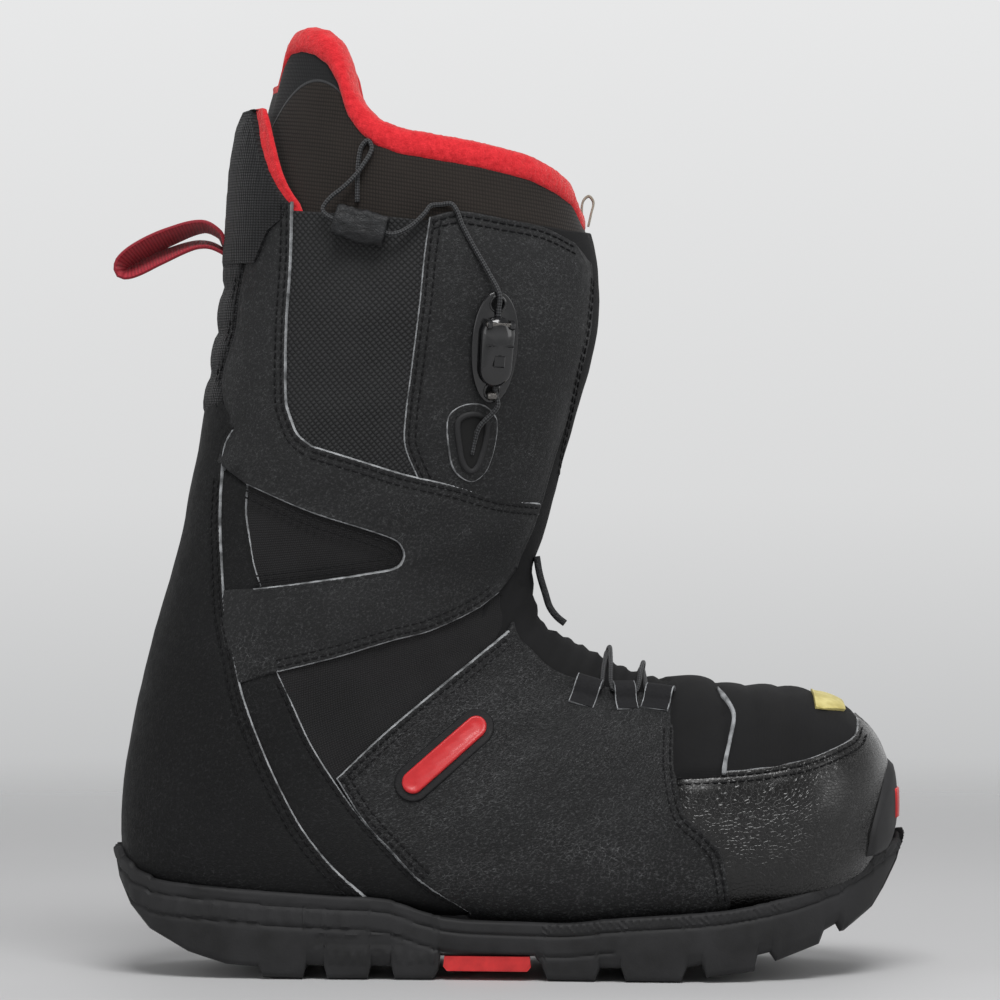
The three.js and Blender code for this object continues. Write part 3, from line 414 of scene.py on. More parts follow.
def fill(outline, edged, grid=GRID, rings=RINGS):
    """Triangulates a (u, s) outline. edged says which outline points are on a finished edge."""
    line = np.array(outline)
    at = SHELL.at(line[:, 0], line[:, 1])
    flat = flat_metric(line[:, 0], line[:, 1])
    normal = SHELL.normal(line[:, 0], line[:, 1])
    tangent = np.roll(at, -1, 0) - np.roll(at, 1, 0)
    tangent /= np.maximum(np.linalg.norm(tangent, axis=1, keepdims=True), 1e-9)
    e = 1e-3
    ju = (SHELL.at(line[:, 0] + e, line[:, 1]) - SHELL.at(line[:, 0] - e, line[:, 1])) / (2 * e)
    low = np.clip(line[:, 1] - 0.01, 0, LAST + 0.98)
    high = np.clip(line[:, 1] + 0.01, 0, LAST + 0.99)
    js = (SHELL.at(line[:, 0], high) - SHELL.at(line[:, 0], low)) / np.maximum(high - low, 1e-6)[:, None]
    points = [line]
    targets = at[edged] if edged.any() else at
    for ring in rings:
        added = []
        for sign in (1, -1):
            step = np.cross(normal, tangent) * sign * ring * MM
            for i in np.nonzero(edged)[0]:
                a = np.stack([ju[i], js[i]], 1)
                du, ds = np.linalg.lstsq(a, step[i], rcond=None)[0]
                added.append([line[i, 0] + du, line[i, 1] + ds])
        added = np.array(added).reshape(-1, 2)
        if not len(added):
            continue
        keep = inside(flat_metric(added[:, 0], added[:, 1]),
                      flat) & (added[:, 1] > 0) & (added[:, 1] < LAST + 0.97)
        added = added[keep]
        if not len(added):
            continue
        where = SHELL.at(added[:, 0], added[:, 1])
        gap, _ = nearest(where, at)
        points.append(added[gap > ring * MM * RING_ROOM])
    rows = np.arange(SHELL.run[0], SHELL.run[-1] - 0.002, grid * MM)
    grid_points = []
    for k, r in enumerate(rows):
        s = np.interp(r, SHELL.run, SHELL.s)
        row = int(np.interp(s, SHELL.s, np.arange(len(SHELL.s))))
        around = np.sum(np.linalg.norm(np.diff(SHELL.p[row], axis=0), axis=1)) / 2
        count = max(3, int(around / (grid * MM)))
        base = np.arange(-3 * count, 3 * count + 1) / count
        us = base[(base >= line[:, 0].min()) & (base <= line[:, 0].max())] + (k % 2) * 0.5 / count
        grid_points += [[u, s] for u in us]
    g = np.array(grid_points)
    keep = inside(flat_metric(g[:, 0], g[:, 1]), flat)
    g = g[keep]
    if len(g):
        where = SHELL.at(g[:, 0], g[:, 1])
        gap, _ = nearest(where, at)
        ok = gap > GRID_ROOM * grid * MM
        if edged.any() and rings:
            gap2, _ = nearest(where, targets)
            ok &= gap2 > (rings[-1] + 0.5 * grid) * MM
        points.append(g[ok])
    cloud = np.concatenate(points)
    f = flat_metric(cloud[:, 0], cloud[:, 1])
    verts2 = [Vector((float(x) * CDT_SCALE, float(y) * CDT_SCALE)) for x, y in f]
    n = len(line)
    result = delaunay_2d_cdt(verts2, [], [list(range(n))], 1, 1e-5, True)
    made, faces, orig = result[0], result[2], result[3]
    uv = []
    for k, v in enumerate(made):
        if orig[k]:
            uv.append(cloud[orig[k][0]])
        else:
            uv.append([v.x / CDT_SCALE / TURN_LENGTH, np.interp(v.y / CDT_SCALE, SHELL.run, SHELL.s)])
    uv = np.array(uv)
    faces = np.array([list(t) for t in faces if len(t) == 3])
    spots = flat_metric(uv[:, 0], uv[:, 1])
    faces = faces[inside(spots[faces].mean(1), flat)]
    return uv, [list(map(int, t)) for t in faces], targets


def rumple(points, scale, seed):
    """Smooth noise at points, different for each seed."""
    off = Vector((seed * 7.31, seed * 3.17, seed * 1.73))
    return np.array([noise.noise(Vector(p) * scale + off) for p in points])


def swell(piece, base, pinned, pressure, cap):
    """Cloth simulation of a filled panel: inside pressure, held along pinned points, capped in mm."""
    group = piece.vertex_groups.new(name="held")
    group.add([int(k) for k in np.nonzero(pinned)[0]], 1.0, "REPLACE")
    cloth = piece.modifiers.new("swell", "CLOTH")
    cloth.settings.vertex_group_mass = "held"
    cloth.settings.use_pressure = True
    cloth.settings.uniform_pressure_force = pressure
    cloth.settings.effector_weights.gravity = 0
    cloth.settings.quality = 4
    cloth.point_cache.frame_start, cloth.point_cache.frame_end = 1, SIMULATED
    scene = bpy.context.scene
    for number in range(1, SIMULATED + 1):
        scene.frame_set(number)
    shown = piece.evaluated_get(bpy.context.evaluated_depsgraph_get()).to_mesh()
    after = np.empty(len(shown.vertices) * 3)
    shown.vertices.foreach_get("co", after)
    move = after.reshape(-1, 3) - base
    size = np.linalg.norm(move, axis=1, keepdims=True)
    size = np.maximum(size, 1e-9)
    move = move / size * (cap * MM) * np.tanh(size / (cap * MM))
    piece.modifiers.remove(cloth)
    piece.vertex_groups.remove(group)
    piece.data.vertices.foreach_set("co", (base + move).ravel())
    piece.data.update()
    scene.frame_set(1)


def panel(name, outline, rise, thick, material, slot, body, nodes=(), puff=0.3, stitches=(), wrinkle=0.25,
          grid=GRID, rings=RINGS, extra=None, crown=9.0, seed=1, dip=0.5, filled=None):
    """A sewn panel: a closed sheet that follows the form. outline holds its (u, s) points and flags for
    finished and for pale edges; rise is its face's height above the form and thick its thickness, in mm."""
    line, edged, lined = (np.array(row) for row in outline)
    uv, faces, targets = fill(line, edged, grid, rings)
    base = SHELL.at(uv[:, 0], uv[:, 1])
    d, _ = nearest(base, targets)
    d = d / MM
    if not edged.any():
        d = np.full(len(base), NO_EDGE)
    roll = np.sqrt(np.clip(1 - (1 - np.clip(d / 0.8, 0, 1)) ** 2, 0, 1))
    height = rise - min(0.55, thick * 0.5) * (1 - roll)
    for offset in stitches:
        height = height - STITCH_TRENCH * np.exp(-((d - offset) / 0.75) ** 2)
    height = height + puff * (1 - np.exp(-np.clip(d - 3, 0, 99) / crown))
    free = ~edged
    if free.any():
        under, _ = nearest(base, SHELL.at(line[free, 0], line[free, 1]))
        ease = np.clip(under / MM / 7.0, 0, 1)
        ease = ease * ease * (3 - 2 * ease)
    else:
        ease = np.ones(len(base))
    height = height - dip * (1 - ease)
    if wrinkle:
        wrinkle = wrinkle * ease
        height = height + wrinkle * (rumple(base, 42, seed) + 0.5 * rumple(base, 110,
                                                                           seed + 5)) * np.clip(d / 8, 0, 1)
    if extra is not None:
        height = height + extra(uv, base, d) * ease
    top = SHELL.at(uv[:, 0], uv[:, 1], height * MM)
    low = SHELL.at(uv[:, 0], uv[:, 1], (rise - thick) * MM)
    n = len(uv)
    count = {}
    face_up = 0.0
    for t in faces[:: max(1, len(faces) // 60)]:
        a, b, c = (top[k] for k in t)
        mean = SHELL.normal(uv[t, 0].mean(), uv[t, 1].mean())[0]
        face_up += np.dot(np.cross(b - a, c - a), mean)
    if face_up < 0:
        faces = [t[::-1] for t in faces]
    for t in faces:
        for i in range(3):
            edge = (t[i], t[(i + 1) % 3])
            count[edge] = count.get(edge, 0) + 1
    walls = [(a, b) for (a, b) in count if (b, a) not in count]
    verts = np.concatenate([top, low])
    quads = [(b, a, a + n, b + n) for a, b in walls]
    all_faces = faces + [(t[0] + n, t[2] + n, t[1] + n) for t in faces] + quads
    piece = mesh_object(name, verts, all_faces, sharp=50)
    if lined.any():
        lit, _ = nearest(base, SHELL.at(line[lined, 0], line[lined, 1]))
        lit = lit / MM
    else:
        lit = np.full(n, NO_LINE)
    attribute(piece, "edge", np.concatenate([lit, np.minimum(lit, NO_LINE)]))
    attribute(piece, "seam", np.concatenate([d, d]))
    st = np.stack([uv[:, 0] * TURN_LENGTH, np.interp(uv[:, 1], SHELL.s, SHELL.run), height * MM], 1)
    attribute(piece, "st", np.concatenate([st, st]), "FLOAT_VECTOR")
    if filled:
        hem = np.minimum(d, under / MM) if free.any() else d
        swell(piece, verts, np.concatenate([hem < 2.0, np.ones(n, bool)]), *filled)
    finish_piece(piece, material, body, nodes)
    return piece


# ------------------------------------------------------------------ materials
class Tree:
    """Short names for the shader nodes used below."""

    def __init__(self, name, roughness=0.5, specular=0.5, metallic=0.0, sheen=0.0, sheen_tint=(1, 1, 1),
                 coat=0.0, coat_rough=0.1):
        self.material = bpy.data.materials.new(name)
        self.material.use_nodes = True
        self.nodes = self.material.node_tree.nodes
        self.links = self.material.node_tree.links
        self.shader = self.nodes["Principled BSDF"]
        inputs = self.shader.inputs
        inputs["Roughness"].default_value = roughness
        inputs["Specular IOR Level"].default_value = specular
        inputs["Metallic"].default_value = metallic
        inputs["Sheen Weight"].default_value = sheen
        inputs["Sheen Roughness"].default_value = 0.4
        inputs["Sheen Tint"].default_value = (*sheen_tint, 1)
        inputs["Coat Weight"].default_value = coat
        inputs["Coat Roughness"].default_value = coat_rough

    def put(self, socket, value):
        if isinstance(value, bpy.types.NodeSocket):
            self.links.new(value, socket)
        elif isinstance(value, (tuple, list)) and len(value) == 3 and len(socket.default_value) == 4:
            socket.default_value = (*value, 1)
        else:
            socket.default_value = value

    def node(self, kind, values=(), **settings):
        made = self.nodes.new("ShaderNode" + kind)
        for key, value in settings.items():
            setattr(made, key, value)
        for key, value in dict(values).items():
            self.put(made.inputs[key], value)
        return made

    def attr(self, name, output="Fac"):
        return self.node("Attribute", attribute_name=name).outputs[output]

    def place(self):
        return self.node("TexCoord").outputs["Object"]

    def noise(self, vector, scale, detail=3.0, rough=0.55, output="Fac"):
        return self.node("TexNoise", {"Vector": vector, "Scale": scale, "Detail": detail,
                                      "Roughness": rough}).outputs[output]

    def cells(self, vector, scale, feature="DISTANCE_TO_EDGE", output="Distance", randomness=1.0):
        return self.node("TexVoronoi", {"Vector": vector, "Scale": scale, "Randomness": randomness},
                         feature=feature).outputs[output]

    def wave(self, vector, scale, direction="X", distortion=0.0, profile="SIN"):
        return self.node("TexWave", {"Vector": vector, "Scale": scale, "Distortion": distortion},
                         wave_type="BANDS",
                         bands_direction=direction, wave_profile=profile).outputs["Fac"]

    def math(self, operation, a, b=0.0, clamp=False):
        return self.node("Math", {0: a, 1: b}, operation=operation, use_clamp=clamp).outputs[0]

    def remap(self, value, a, b, c=0.0, d=1.0):
        return self.node("MapRange", {"Value": value, "From Min": a, "From Max": b, "To Min": c,
                                      "To Max": d}).outputs["Result"]

    def scaled(self, vector, scale, turn=0.0):
        return self.node("Mapping", {"Vector": vector, "Scale": scale,
                                     "Rotation": (0, 0, turn)}).outputs["Vector"]

    def threads(self, coordinate, pitch):
        """Ridges across one coordinate of the vector, pitch metres apart."""
        return self.math("ABSOLUTE", self.math("SINE", self.math("MULTIPLY", coordinate, pi / pitch)))

    def split(self, name="st"):
        return self.node("SeparateXYZ", {0: self.attr(name, "Vector")}).outputs

    def shift(self, vector, scale, detail, amount):
        """The vector moved about by coloured noise."""
        cloud = self.noise(vector, scale, detail, output="Color")
        push = self.node("VectorMath", {0: cloud, "Scale": amount}, operation="SCALE").outputs[0]
        return self.node("VectorMath", {0: vector, 1: push}, operation="ADD").outputs[0]

    def mix(self, factor, a, b):
        made = self.node("Mix", data_type="RGBA")
        self.put(made.inputs["Factor"], factor)
        self.put(made.inputs[6], a)
        self.put(made.inputs[7], b)
        return made.outputs[2]

    def colour(self, value):
        self.put(self.shader.inputs["Base Color"], value)
        return self

    def rough(self, value):
        self.put(self.shader.inputs["Roughness"], value)
        return self

    def bump(self, height, distance, strength=1.0):
        last = self.shader.inputs["Normal"].links
        values = {"Height": height, "Distance": distance, "Strength": strength}
        if last:
            values["Normal"] = last[0].from_socket
        self.put(self.shader.inputs["Normal"], self.node("Bump", values).outputs["Normal"])
        return self


def speckled(name, roughness, specular, cloud, dark, light, bump=None, spread=None, **more):
    """Two tones in clouds, given as noise scale and detail, over a fine bump: scale, depth, strength."""
    tree = Tree(name, roughness, specular, **more)
    place = tree.place()
    tone = tree.noise(place, *cloud)
    tree.colour(tree.mix(tree.remap(tone, *spread) if spread else tone, dark, light))
    if bump:
        tree.bump(tree.noise(place, bump[0], 2.0), *bump[1:])
    return tree.material


EDGE_GREY = (0.34, 0.35, 0.36)


def cut_edge(tree, base, width=0.55, tint=EDGE_GREY):
    """Paints the pale raw edge of a cut panel over the base colour."""
    edge = tree.attr("edge")
    uneven = tree.noise(tree.attr("st", "Vector"), 900.0, 2.0)
    limit = tree.math("ADD", width * 0.45, tree.math("MULTIPLY", uneven, width * 0.9))
    on = tree.math("LESS_THAN", edge, limit)
    patchy = tree.remap(tree.noise(tree.attr("st", "Vector"), 160.0, 2.0), 0.34, 0.6, 0.25, 1.0)
    return tree.mix(tree.math("MULTIPLY", on, patchy), base, tint)


def leather(name, dark, light, roughness, grain, grain_depth, crease=0.0, coat=0.0, edge=True, spec=0.5,
            painted_glint=0.0, painted_glint_scale=420, painted_glint_tone=(0.12, 0.122, 0.125)):
    """Grained leather with clouds of tone, optional creases with painted highlights along them, and painted
    glints in fine cracks and specks.
    """
    tree = Tree(name, roughness, spec, coat=coat, coat_rough=0.25)
    st = tree.attr("st", "Vector")
    big = tree.noise(st, 28.0, 4.0, 0.6)
    small = tree.noise(st, 320.0, 3.0, 0.6)
    shade = tree.mix(tree.remap(big, 0.3, 0.7), dark, light)
    shade = tree.mix(tree.remap(small, 0.35, 0.75, 0.0, 0.5), shade, light)
    cells = tree.cells(st, grain)
    lines = tree.remap(cells, 0.0, 0.16)
    tree.rough(tree.remap(tree.math("ADD", small, big), 0.7, 1.3, roughness - 0.09, roughness + 0.12))
    tree.bump(lines, grain_depth, 0.6)
    tree.bump(small, grain_depth * 0.8, 0.5)
    if crease:
        warp = tree.node("Mix", data_type="VECTOR")
        tree.put(warp.inputs["Factor"], 0.12)
        tree.put(warp.inputs[4], st)
        tree.put(warp.inputs[5], tree.noise(st, 60.0, 2.0, output="Color"))
        lines2 = tree.remap(tree.cells(tree.scaled(warp.outputs[1], (1, 0.55, 1)), grain * 0.33), 0.0, 0.09)
        tree.bump(lines2, crease, 0.55)
        # Painted highlight: the crease lines are lightened towards the light tone, as where light catches
        # the creases.
        shade = tree.mix(tree.remap(lines2, 0.0, 1.0, 0.35, 0.0), shade, light)
    # Painted glints: fine cracks, shown in patches and dotted with specks, are lightened towards the glint
    # tone, standing in for light sparkling on the grain.
    if painted_glint:
        hair = tree.remap(tree.cells(tree.shift(st, 240.0, 3.0, 0.003), painted_glint_scale), 0.0, 0.055, 1.0, 0.0)
        glint_patches = tree.remap(tree.noise(st, 33.0, 4.0, 0.65), 0.46, 0.68)
        speck = tree.remap(tree.noise(st, 900.0, 2.0), 0.5, 0.72)
        on = tree.math("MULTIPLY", tree.math("MULTIPLY", hair, glint_patches), tree.math("ADD", speck, 0.25))
        shade = tree.mix(tree.math("MULTIPLY", on, painted_glint, True), shade, painted_glint_tone)
        dot = tree.remap(tree.noise(st, 1000.0, 3.0, 0.75), 0.52, 0.74)
        shade = tree.mix(tree.math("MULTIPLY", dot, painted_glint * 0.42), shade, painted_glint_tone)
    tree.colour(cut_edge(tree, shade) if edge else shade)
    return tree.material


def woven(name, dark, light, pitch, depth, roughness=0.85, turn=0.0, edge=True, sheen=0.0, contrast=0.6,
          stretch=1.0,
          tab=False):
    """Over-and-under weave with the given thread pitch in metres, with light and shade painted into it:
    thread tops lighter, gaps darker.
    """
    tree = Tree(name, roughness, 0.35, sheen=sheen)
    st = tree.attr("st", "Vector")
    wobble = tree.shift(st, 90.0, 2.0, pitch * 0.5)
    grid = tree.scaled(wobble, (1 / pitch, 1 / pitch / stretch, 0), turn)
    split = tree.node("SeparateXYZ", {0: grid})
    warp = tree.math("SINE", tree.math("MULTIPLY", split.outputs[0], pi))
    weft = tree.math("SINE", tree.math("MULTIPLY", split.outputs[1], pi))
    over = tree.math("MULTIPLY", warp, weft)
    height = tree.math("ABSOLUTE", over)
    tone = tree.noise(st, 35.0, 3.0)
    # Painted light and shade: the tone follows the weave's height, light on the thread tops and dark in the
    # gaps between them.
    shade = tree.mix(tree.remap(height, 0.0, 0.8, 0.0, contrast), dark, light)
    shade = tree.mix(tree.remap(tone, 0.35, 0.7, 0.0, 0.35), shade, light)
    tree.bump(height, depth, 0.8)
    tree.bump(tree.noise(st, 1500.0, 2.0), depth * 0.3, 0.4)
    if tab:
        above = tree.attr("tab")
        smooth = tree.mix(tree.noise(st, 500.0, 3.0), (0.0075, 0.0078, 0.0084), (0.0125, 0.013, 0.014))
        shade = tree.mix(tree.remap(above, -0.1, 0.1), shade, smooth)
        seam = tree.remap(tree.math("ABSOLUTE", above), 0.25, 0.7, 1.0, 0.0)
        shade = tree.mix(tree.math("MULTIPLY", seam, 0.8), shade, (0.05, 0.052, 0.055))
        tree.bump(seam, 0.0005, 0.8)
    tree.colour(cut_edge(tree, shade) if edge else shade)
    return tree.material


MATERIALS = {}


def make_materials():
    """Every material that the pieces use."""
    m = MATERIALS
    # Suede, flap, quarter and toe carry painted glints: fine cracks and specks of highlight lightened into
    # their colour.
    m["suede"] = leather("suede", (0.0030, 0.0031, 0.0033), (0.0080, 0.0082, 0.0087), 0.68, 950, 0.00010,
                         spec=0.2,
                         painted_glint=0.30)
    m["flap"] = leather("flap", (0.0034, 0.0035, 0.0038), (0.0105, 0.0108, 0.0115), 0.55, 900, 0.00010,
                        spec=0.3,
                        painted_glint=0.9, painted_glint_scale=520)
    m["quarter"] = leather("quarter", (0.0034, 0.0035, 0.0038), (0.0115, 0.0118, 0.0125), 0.56, 760, 0.00014,
                           crease=0.00025, spec=0.26, painted_glint=1.3, painted_glint_scale=380)
    m["toe"] = leather("toe", (0.0022, 0.0021, 0.0020), (0.0045, 0.0043, 0.0041), 0.22, 620, 0.00026,
                       coat=0.35,
                       spec=0.36, painted_glint=0.03, painted_glint_scale=560)
    m["mesh"] = woven("cuff_mesh", (0.0014, 0.0014, 0.0016), (0.026, 0.0265, 0.0275), 0.0017, 0.00045, 0.8,
                      turn=radians(45), contrast=0.9)
    m["fine"] = woven("fine_fabric", (0.0030, 0.0029, 0.0031), (0.020, 0.0195, 0.0205), 0.0009, 0.00016,
                      0.88)
    m["nylon"] = woven("nylon", (0.0022, 0.0022, 0.0024), (0.0095, 0.0095, 0.0105), 0.0006, 0.00008, 0.9)
    m["liner"] = woven("liner_fabric", (0.0058, 0.0045, 0.0038), (0.030, 0.0235, 0.0195), 0.0010, 0.00014,
                       0.95, sheen=0.1,
                       edge=False, stretch=1.5, contrast=0.75, tab=True)
    tree = Tree("ribbed", 0.85, 0.3, sheen=0.1)
    split = tree.split()
    rib, cross = tree.threads(split[0], 0.0014), tree.threads(split[1], 0.0010)
    tree.bump(rib, 0.0003, 0.8).bump(cross, 0.0003, 0.6)
    # Painted light and shade: the tone follows the ribs' height, light on the ribs and dark in the grooves
    # between them.
    tree.colour(tree.mix(tree.math("MULTIPLY", rib, cross), (0.0020, 0.0021, 0.0023),
                         (0.022, 0.0225, 0.024)))
    m["rib"] = tree.material
    tree = Tree("red_fleece", 0.95, 0.2, sheen=0.55, sheen_tint=(1.0, 0.55, 0.5))
    place = tree.place()
    pile = tree.noise(place, 1400.0, 4.0, 0.7)
    tuft = tree.noise(place, 420.0, 3.0, 0.6)
    tree.bump(pile, 0.0006, 0.7).bump(tuft, 0.0008, 0.6)
    tree.colour(tree.mix(tree.remap(tree.math("ADD", pile, tuft), 0.7, 1.3), (0.50, 0.012, 0.018),
                         (0.80, 0.035, 0.045)))
    m["fleece"] = tree.material
    tree = Tree("red_webbing", 0.62, 0.4, sheen=0.2)
    split = tree.split()
    weave = tree.math("MULTIPLY", tree.threads(split[1], 0.0013), tree.threads(split[0], 0.0009))
    tree.bump(weave, 0.0003, 0.8)
    # Painted light and shade: the tone follows the weave's height, light on the threads and dark between
    # them.
    tree.colour(tree.mix(weave, (0.22, 0.004, 0.014), (0.55, 0.014, 0.035)))
    m["webbing"] = tree.material
    tree = Tree("gloss_plastic", 0.12, 0.55, coat=0.3)
    place = tree.place()
    scuff = tree.noise(place, 260.0, 4.0, 0.65)
    tree.rough(tree.remap(scuff, 0.45, 0.75, 0.10, 0.26))
    tree.colour(tree.mix(scuff, (0.006, 0.006, 0.0065), (0.012, 0.012, 0.013)))
    tree.bump(tree.noise(place, 90.0, 2.0), 0.00006, 0.5)
    m["plastic"] = tree.material
    tree = Tree("dark_metal", 0.28, 0.5, metallic=1.0)
    place = tree.place()
    tree.colour(tree.mix(tree.noise(place, 500.0, 3.0), (0.10, 0.095, 0.09), (0.22, 0.21, 0.20)))
    tree.rough(tree.remap(tree.noise(place, 900.0, 2.0), 0.3, 0.7, 0.2, 0.4))
    m["metal"] = tree.material
    tree = Tree("rubber", 0.6, 0.35)
    place = tree.place()
    dust = tree.noise(place, 60.0, 5.0, 0.65)
    fine = tree.noise(place, 1100.0, 3.0)
    tree.colour(tree.mix(tree.remap(dust, 0.35, 0.7), (0.009, 0.009, 0.0095), (0.024, 0.024, 0.0255)))
    tree.rough(tree.remap(dust, 0.3, 0.7, 0.55, 0.78))
    tree.bump(fine, 0.00012, 0.5)
    m["rubber"] = tree.material
    tree = Tree("braid", 0.6, 0.35, sheen=0.1)
    split = tree.split()
    around, along = tree.math("MULTIPLY", split[0], 2 * pi * 3), tree.math("MULTIPLY", split[1], pi / 0.0011)
    plus, minus = (tree.math("SINE", tree.math(way, around, along)) for way in ("ADD", "SUBTRACT"))
    cross = tree.math("MULTIPLY", plus, minus)
    tree.bump(cross, 0.0002, 0.8)
    # Painted light and shade: the tone follows the braid's ridges, light on them and dark in the grooves.
    tree.colour(tree.mix(tree.remap(cross, -0.6, 0.8), (0.008, 0.008, 0.009), (0.055, 0.057, 0.06)))
    m["cord"] = tree.material
    m["thread"] = speckled("thread", 0.7, 0.2, (700.0, 2.0), (0.0025, 0.0025, 0.0028), (0.009, 0.009, 0.010))
    # Painted shade: a near-black sheet for inside the cord slots, standing for the shade in the opening.
    m["well"] = speckled("slot_painted_shade", 0.9, 0.5, (3.0, 2.0), (0.00197, 0.00197, 0.00197),
                         (0.002, 0.002, 0.002))
    tree = Tree("sleeve_leather", 0.55, 0.35)
    place = tree.place()
    cells = tree.cells(place, 520)
    tree.bump(tree.remap(cells, 0.0, 0.14), 0.00018, 0.6)
    wrinkles = tree.noise(tree.scaled(place, (1, 1, 3)), 190.0, 4.0, 0.65)
    tree.bump(wrinkles, 0.0008, 0.7)
    tree.colour(tree.mix(tree.remap(wrinkles, 0.35, 0.7), (0.005, 0.0052, 0.0057), (0.020, 0.021, 0.023)))
    m["sleeve"] = tree.material
    tree = Tree("tab_webbing", 0.8, 0.25)
    place = tree.place()
    rough = tree.noise(place, 900.0, 3.0)
    tree.bump(rough, 0.0003, 0.6)
    tree.colour(cut_edge(tree, tree.mix(rough, (0.005, 0.005, 0.0055), (0.016, 0.016, 0.018)), width=0.4))
    m["tab"] = tree.material
    tree = Tree("beige_webbing", 0.8, 0.3, sheen=0.1)
    place = tree.place()
    thread = tree.wave(place, 900.0, "Z", 1.0)
    tree.bump(thread, 0.0002, 0.6)
    # Painted light and shade: the tone follows the threads' height, light on the threads and dark in the
    # grooves between them.
    tree.colour(tree.mix(thread, (0.20, 0.18, 0.14), (0.48, 0.44, 0.36)))
    m["beige"] = tree.material
    m["suede_dark"] = leather("badge_leather", (0.004, 0.004, 0.0044), (0.012, 0.012, 0.013), 0.6, 900,
                              0.00008, edge=False, spec=0.25)
    m["badge"] = speckled("badge_rubber", 0.38, 0.4, (240.0, 3.0), (0.46, 0.012, 0.016),
                          (0.62, 0.024, 0.028),
                          (1300.0, 0.00006, 0.4), coat=0.1)
    m["label"] = speckled("label_film", 0.5, 0.4, (160.0, 4.0), (0.50, 0.42, 0.13), (0.72, 0.63, 0.25),
                          (500.0, 0.0001, 0.4), spread=(0.35, 0.7))
    m["red_plastic"] = speckled("red_plastic", 0.42, 0.45, (120.0, 4.0), (0.42, 0.012, 0.014),
                                (0.66, 0.03, 0.03),
                                (900.0, 0.0001, 0.4), spread=(0.35, 0.7))
    tree = Tree("foam_board", 0.9, 0.3)
    place = tree.place()
    grain = tree.noise(place, 700.0, 3.0)
    tree.colour(tree.mix(grain, (0.10, 0.095, 0.085), (0.20, 0.19, 0.17)))
    tree.bump(grain, 0.0003, 0.5)
    m["foam"] = tree.material


# ------------------------------------------------------------------ outlines in side view (x, z)
COUNTER_EDGE = [(-55, 31), (-68, 43), (-80, 58), (-90, 76.5), (-97.5, 94), (-102.5, 108), (-104.3, 115),
                (-107.5, 130.5), (-109.8, 142), (-111, 158), (-112, 176), (-111.4, 194), (-110, 205.5),
                (-107, 211)]
BRAID_EDGE = [(-15.5, 25.5), (-34, 37.5), (-45.5, 49), (-57, 61.5), (-68, 76.5), (-77, 91), (-84.5, 107.5),
              (-89.5, 118)]
QUARTER_REAR = [(-15.5, 25.5), (-34, 37.5), (-45.5, 49), (-57, 61.5), (-67, 77)]
QUARTER_TOP = [(-67, 77), (-49, 94), (-31, 109), (-18, 119.5), (-1, 133)]
QUARTER_FRONT = [(64, 120), (64, 96.5), (63.5, 81), (67, 64), (75.5, 56), (81, 48.5), (84.5, 29)]
CAP_TOP = [(63, 79.5), (82.5, 80.5), (98, 82), (114.5, 85), (128.5, 90), (134, 93), (136, 97), (135.5, 102),
           (130.5, 108)]
STRAP_LOWER = [(-104.5, 114.5), (-89.5, 118), (-67, 123.5), (-45, 130), (-31, 133.5), (-13.5, 141.5),
               (-4.5, 148), (12, 163)]
WINDOW_TOP = [(-114, 194.5), (-101.5, 190), (-77, 179.5), (-49, 170.5), (-43, 167.5)]
WINDOW_LOW = [(-41, 162.5), (-43.5, 158.5), (-52, 156.5), (-79.5, 152.5), (-98.5, 150.2), (-114, 149.2)]
STRIP_EDGE = [(-107, 211), (-111, 222), (-111.5, 233), (-106.5, 249.5), (-105, 262.5), (-101.5, 278),
              (-96.5, 287), (-90, 297)]
MESH_REAR = [(-84, 299), (-84.5, 275.5), (-86, 250), (-86, 222), (-84, 215), (-81.5, 209.5), (-76, 205)]
F_EDGE = [(-76, 205), (-58, 199.5), (-40, 194), (-22, 190), (-4.5, 185), (11.5, 183), (30, 181.5)]
FLAP_REAR = [(-31, 292.5), (-33, 279), (-35, 259), (-38, 235), (-40.5, 215), (-40.5, 204.5), (-34.5, 190)]
CUFF_TOP = [(-31, 292.5), (-20.5, 295), (-3, 292.5), (13, 289.5), (25.5, 284), (33, 276.5), (48, 262)]
FLAP_FRONT = [(31, 272), (30, 262), (28, 248), (25, 232), (22, 216), (19, 202), (17.5, 190)]
COLLAR_FRONT = [(-84, 298), (-88, 303), (-92, 310), (-95.5, 320), (-97.5, 330), (-99, 336)]
LINER_TOP = [(-120, 345), (-90, 345), (-87, 357), (-83.5, 365), (-79, 366), (-74, 364.5), (-68.5, 360),
             (-64.5, 352),
             (-61.5, 341), (-57, 334), (-51, 328.5), (-42, 325), (-12, 320), (8, 315.5), (17, 311.5),
             (23, 307), (26, 298),
             (40, 294)]


def straight(points, step=3.5):
    """Points along straight runs, at most a step apart."""
    out = []
    for a, b in zip(points[:-1], points[1:]):
        a, b = np.array(a, float), np.array(b, float)
        n = max(1, int(np.ceil(np.linalg.norm(b - a) / step)))
        out += [tuple(a + (b - a) * k / n) for k in range(n)]
    return out + [tuple(points[-1])]


def trace(runs):
    """Runs of (kind, points) to a dense (u, s) line; kind is edge, dark (finished, no pale
    line), under (hidden) or throat (a finished edge at one distance off the middle)."""
    line, edged, lined = [], [], []
    for kind, points in runs:
        if kind == "throat":
            (start, end, half) = points
            spots = [(SHELL.turn_at(s, half), s) for s in np.linspace(SHELL.find(*start)[1],
                                                                      SHELL.find(*end)[1], 60)]
        else:
            made = straight(points) if kind == "under" else smooth_path(points, 1.8)
            spots = [SHELL.find(x, z) for x, z in made]
        for place in spots:
            if line and abs(place[0] - line[-1][0]) * 100 + abs(place[1] - line[-1][1]) < 0.02:
                continue
            line.append(place)
            edged.append(kind != "under")
            lined.append(kind == "edge")
    return line, edged, lined


def one_side(runs, side):
    """A traced outline on the lateral (-1) or medial (1) side."""
    line, edged, lined = trace(runs)
    if side > 0:
        line = [(-u, s) for u, s in line]
    return line, edged, lined


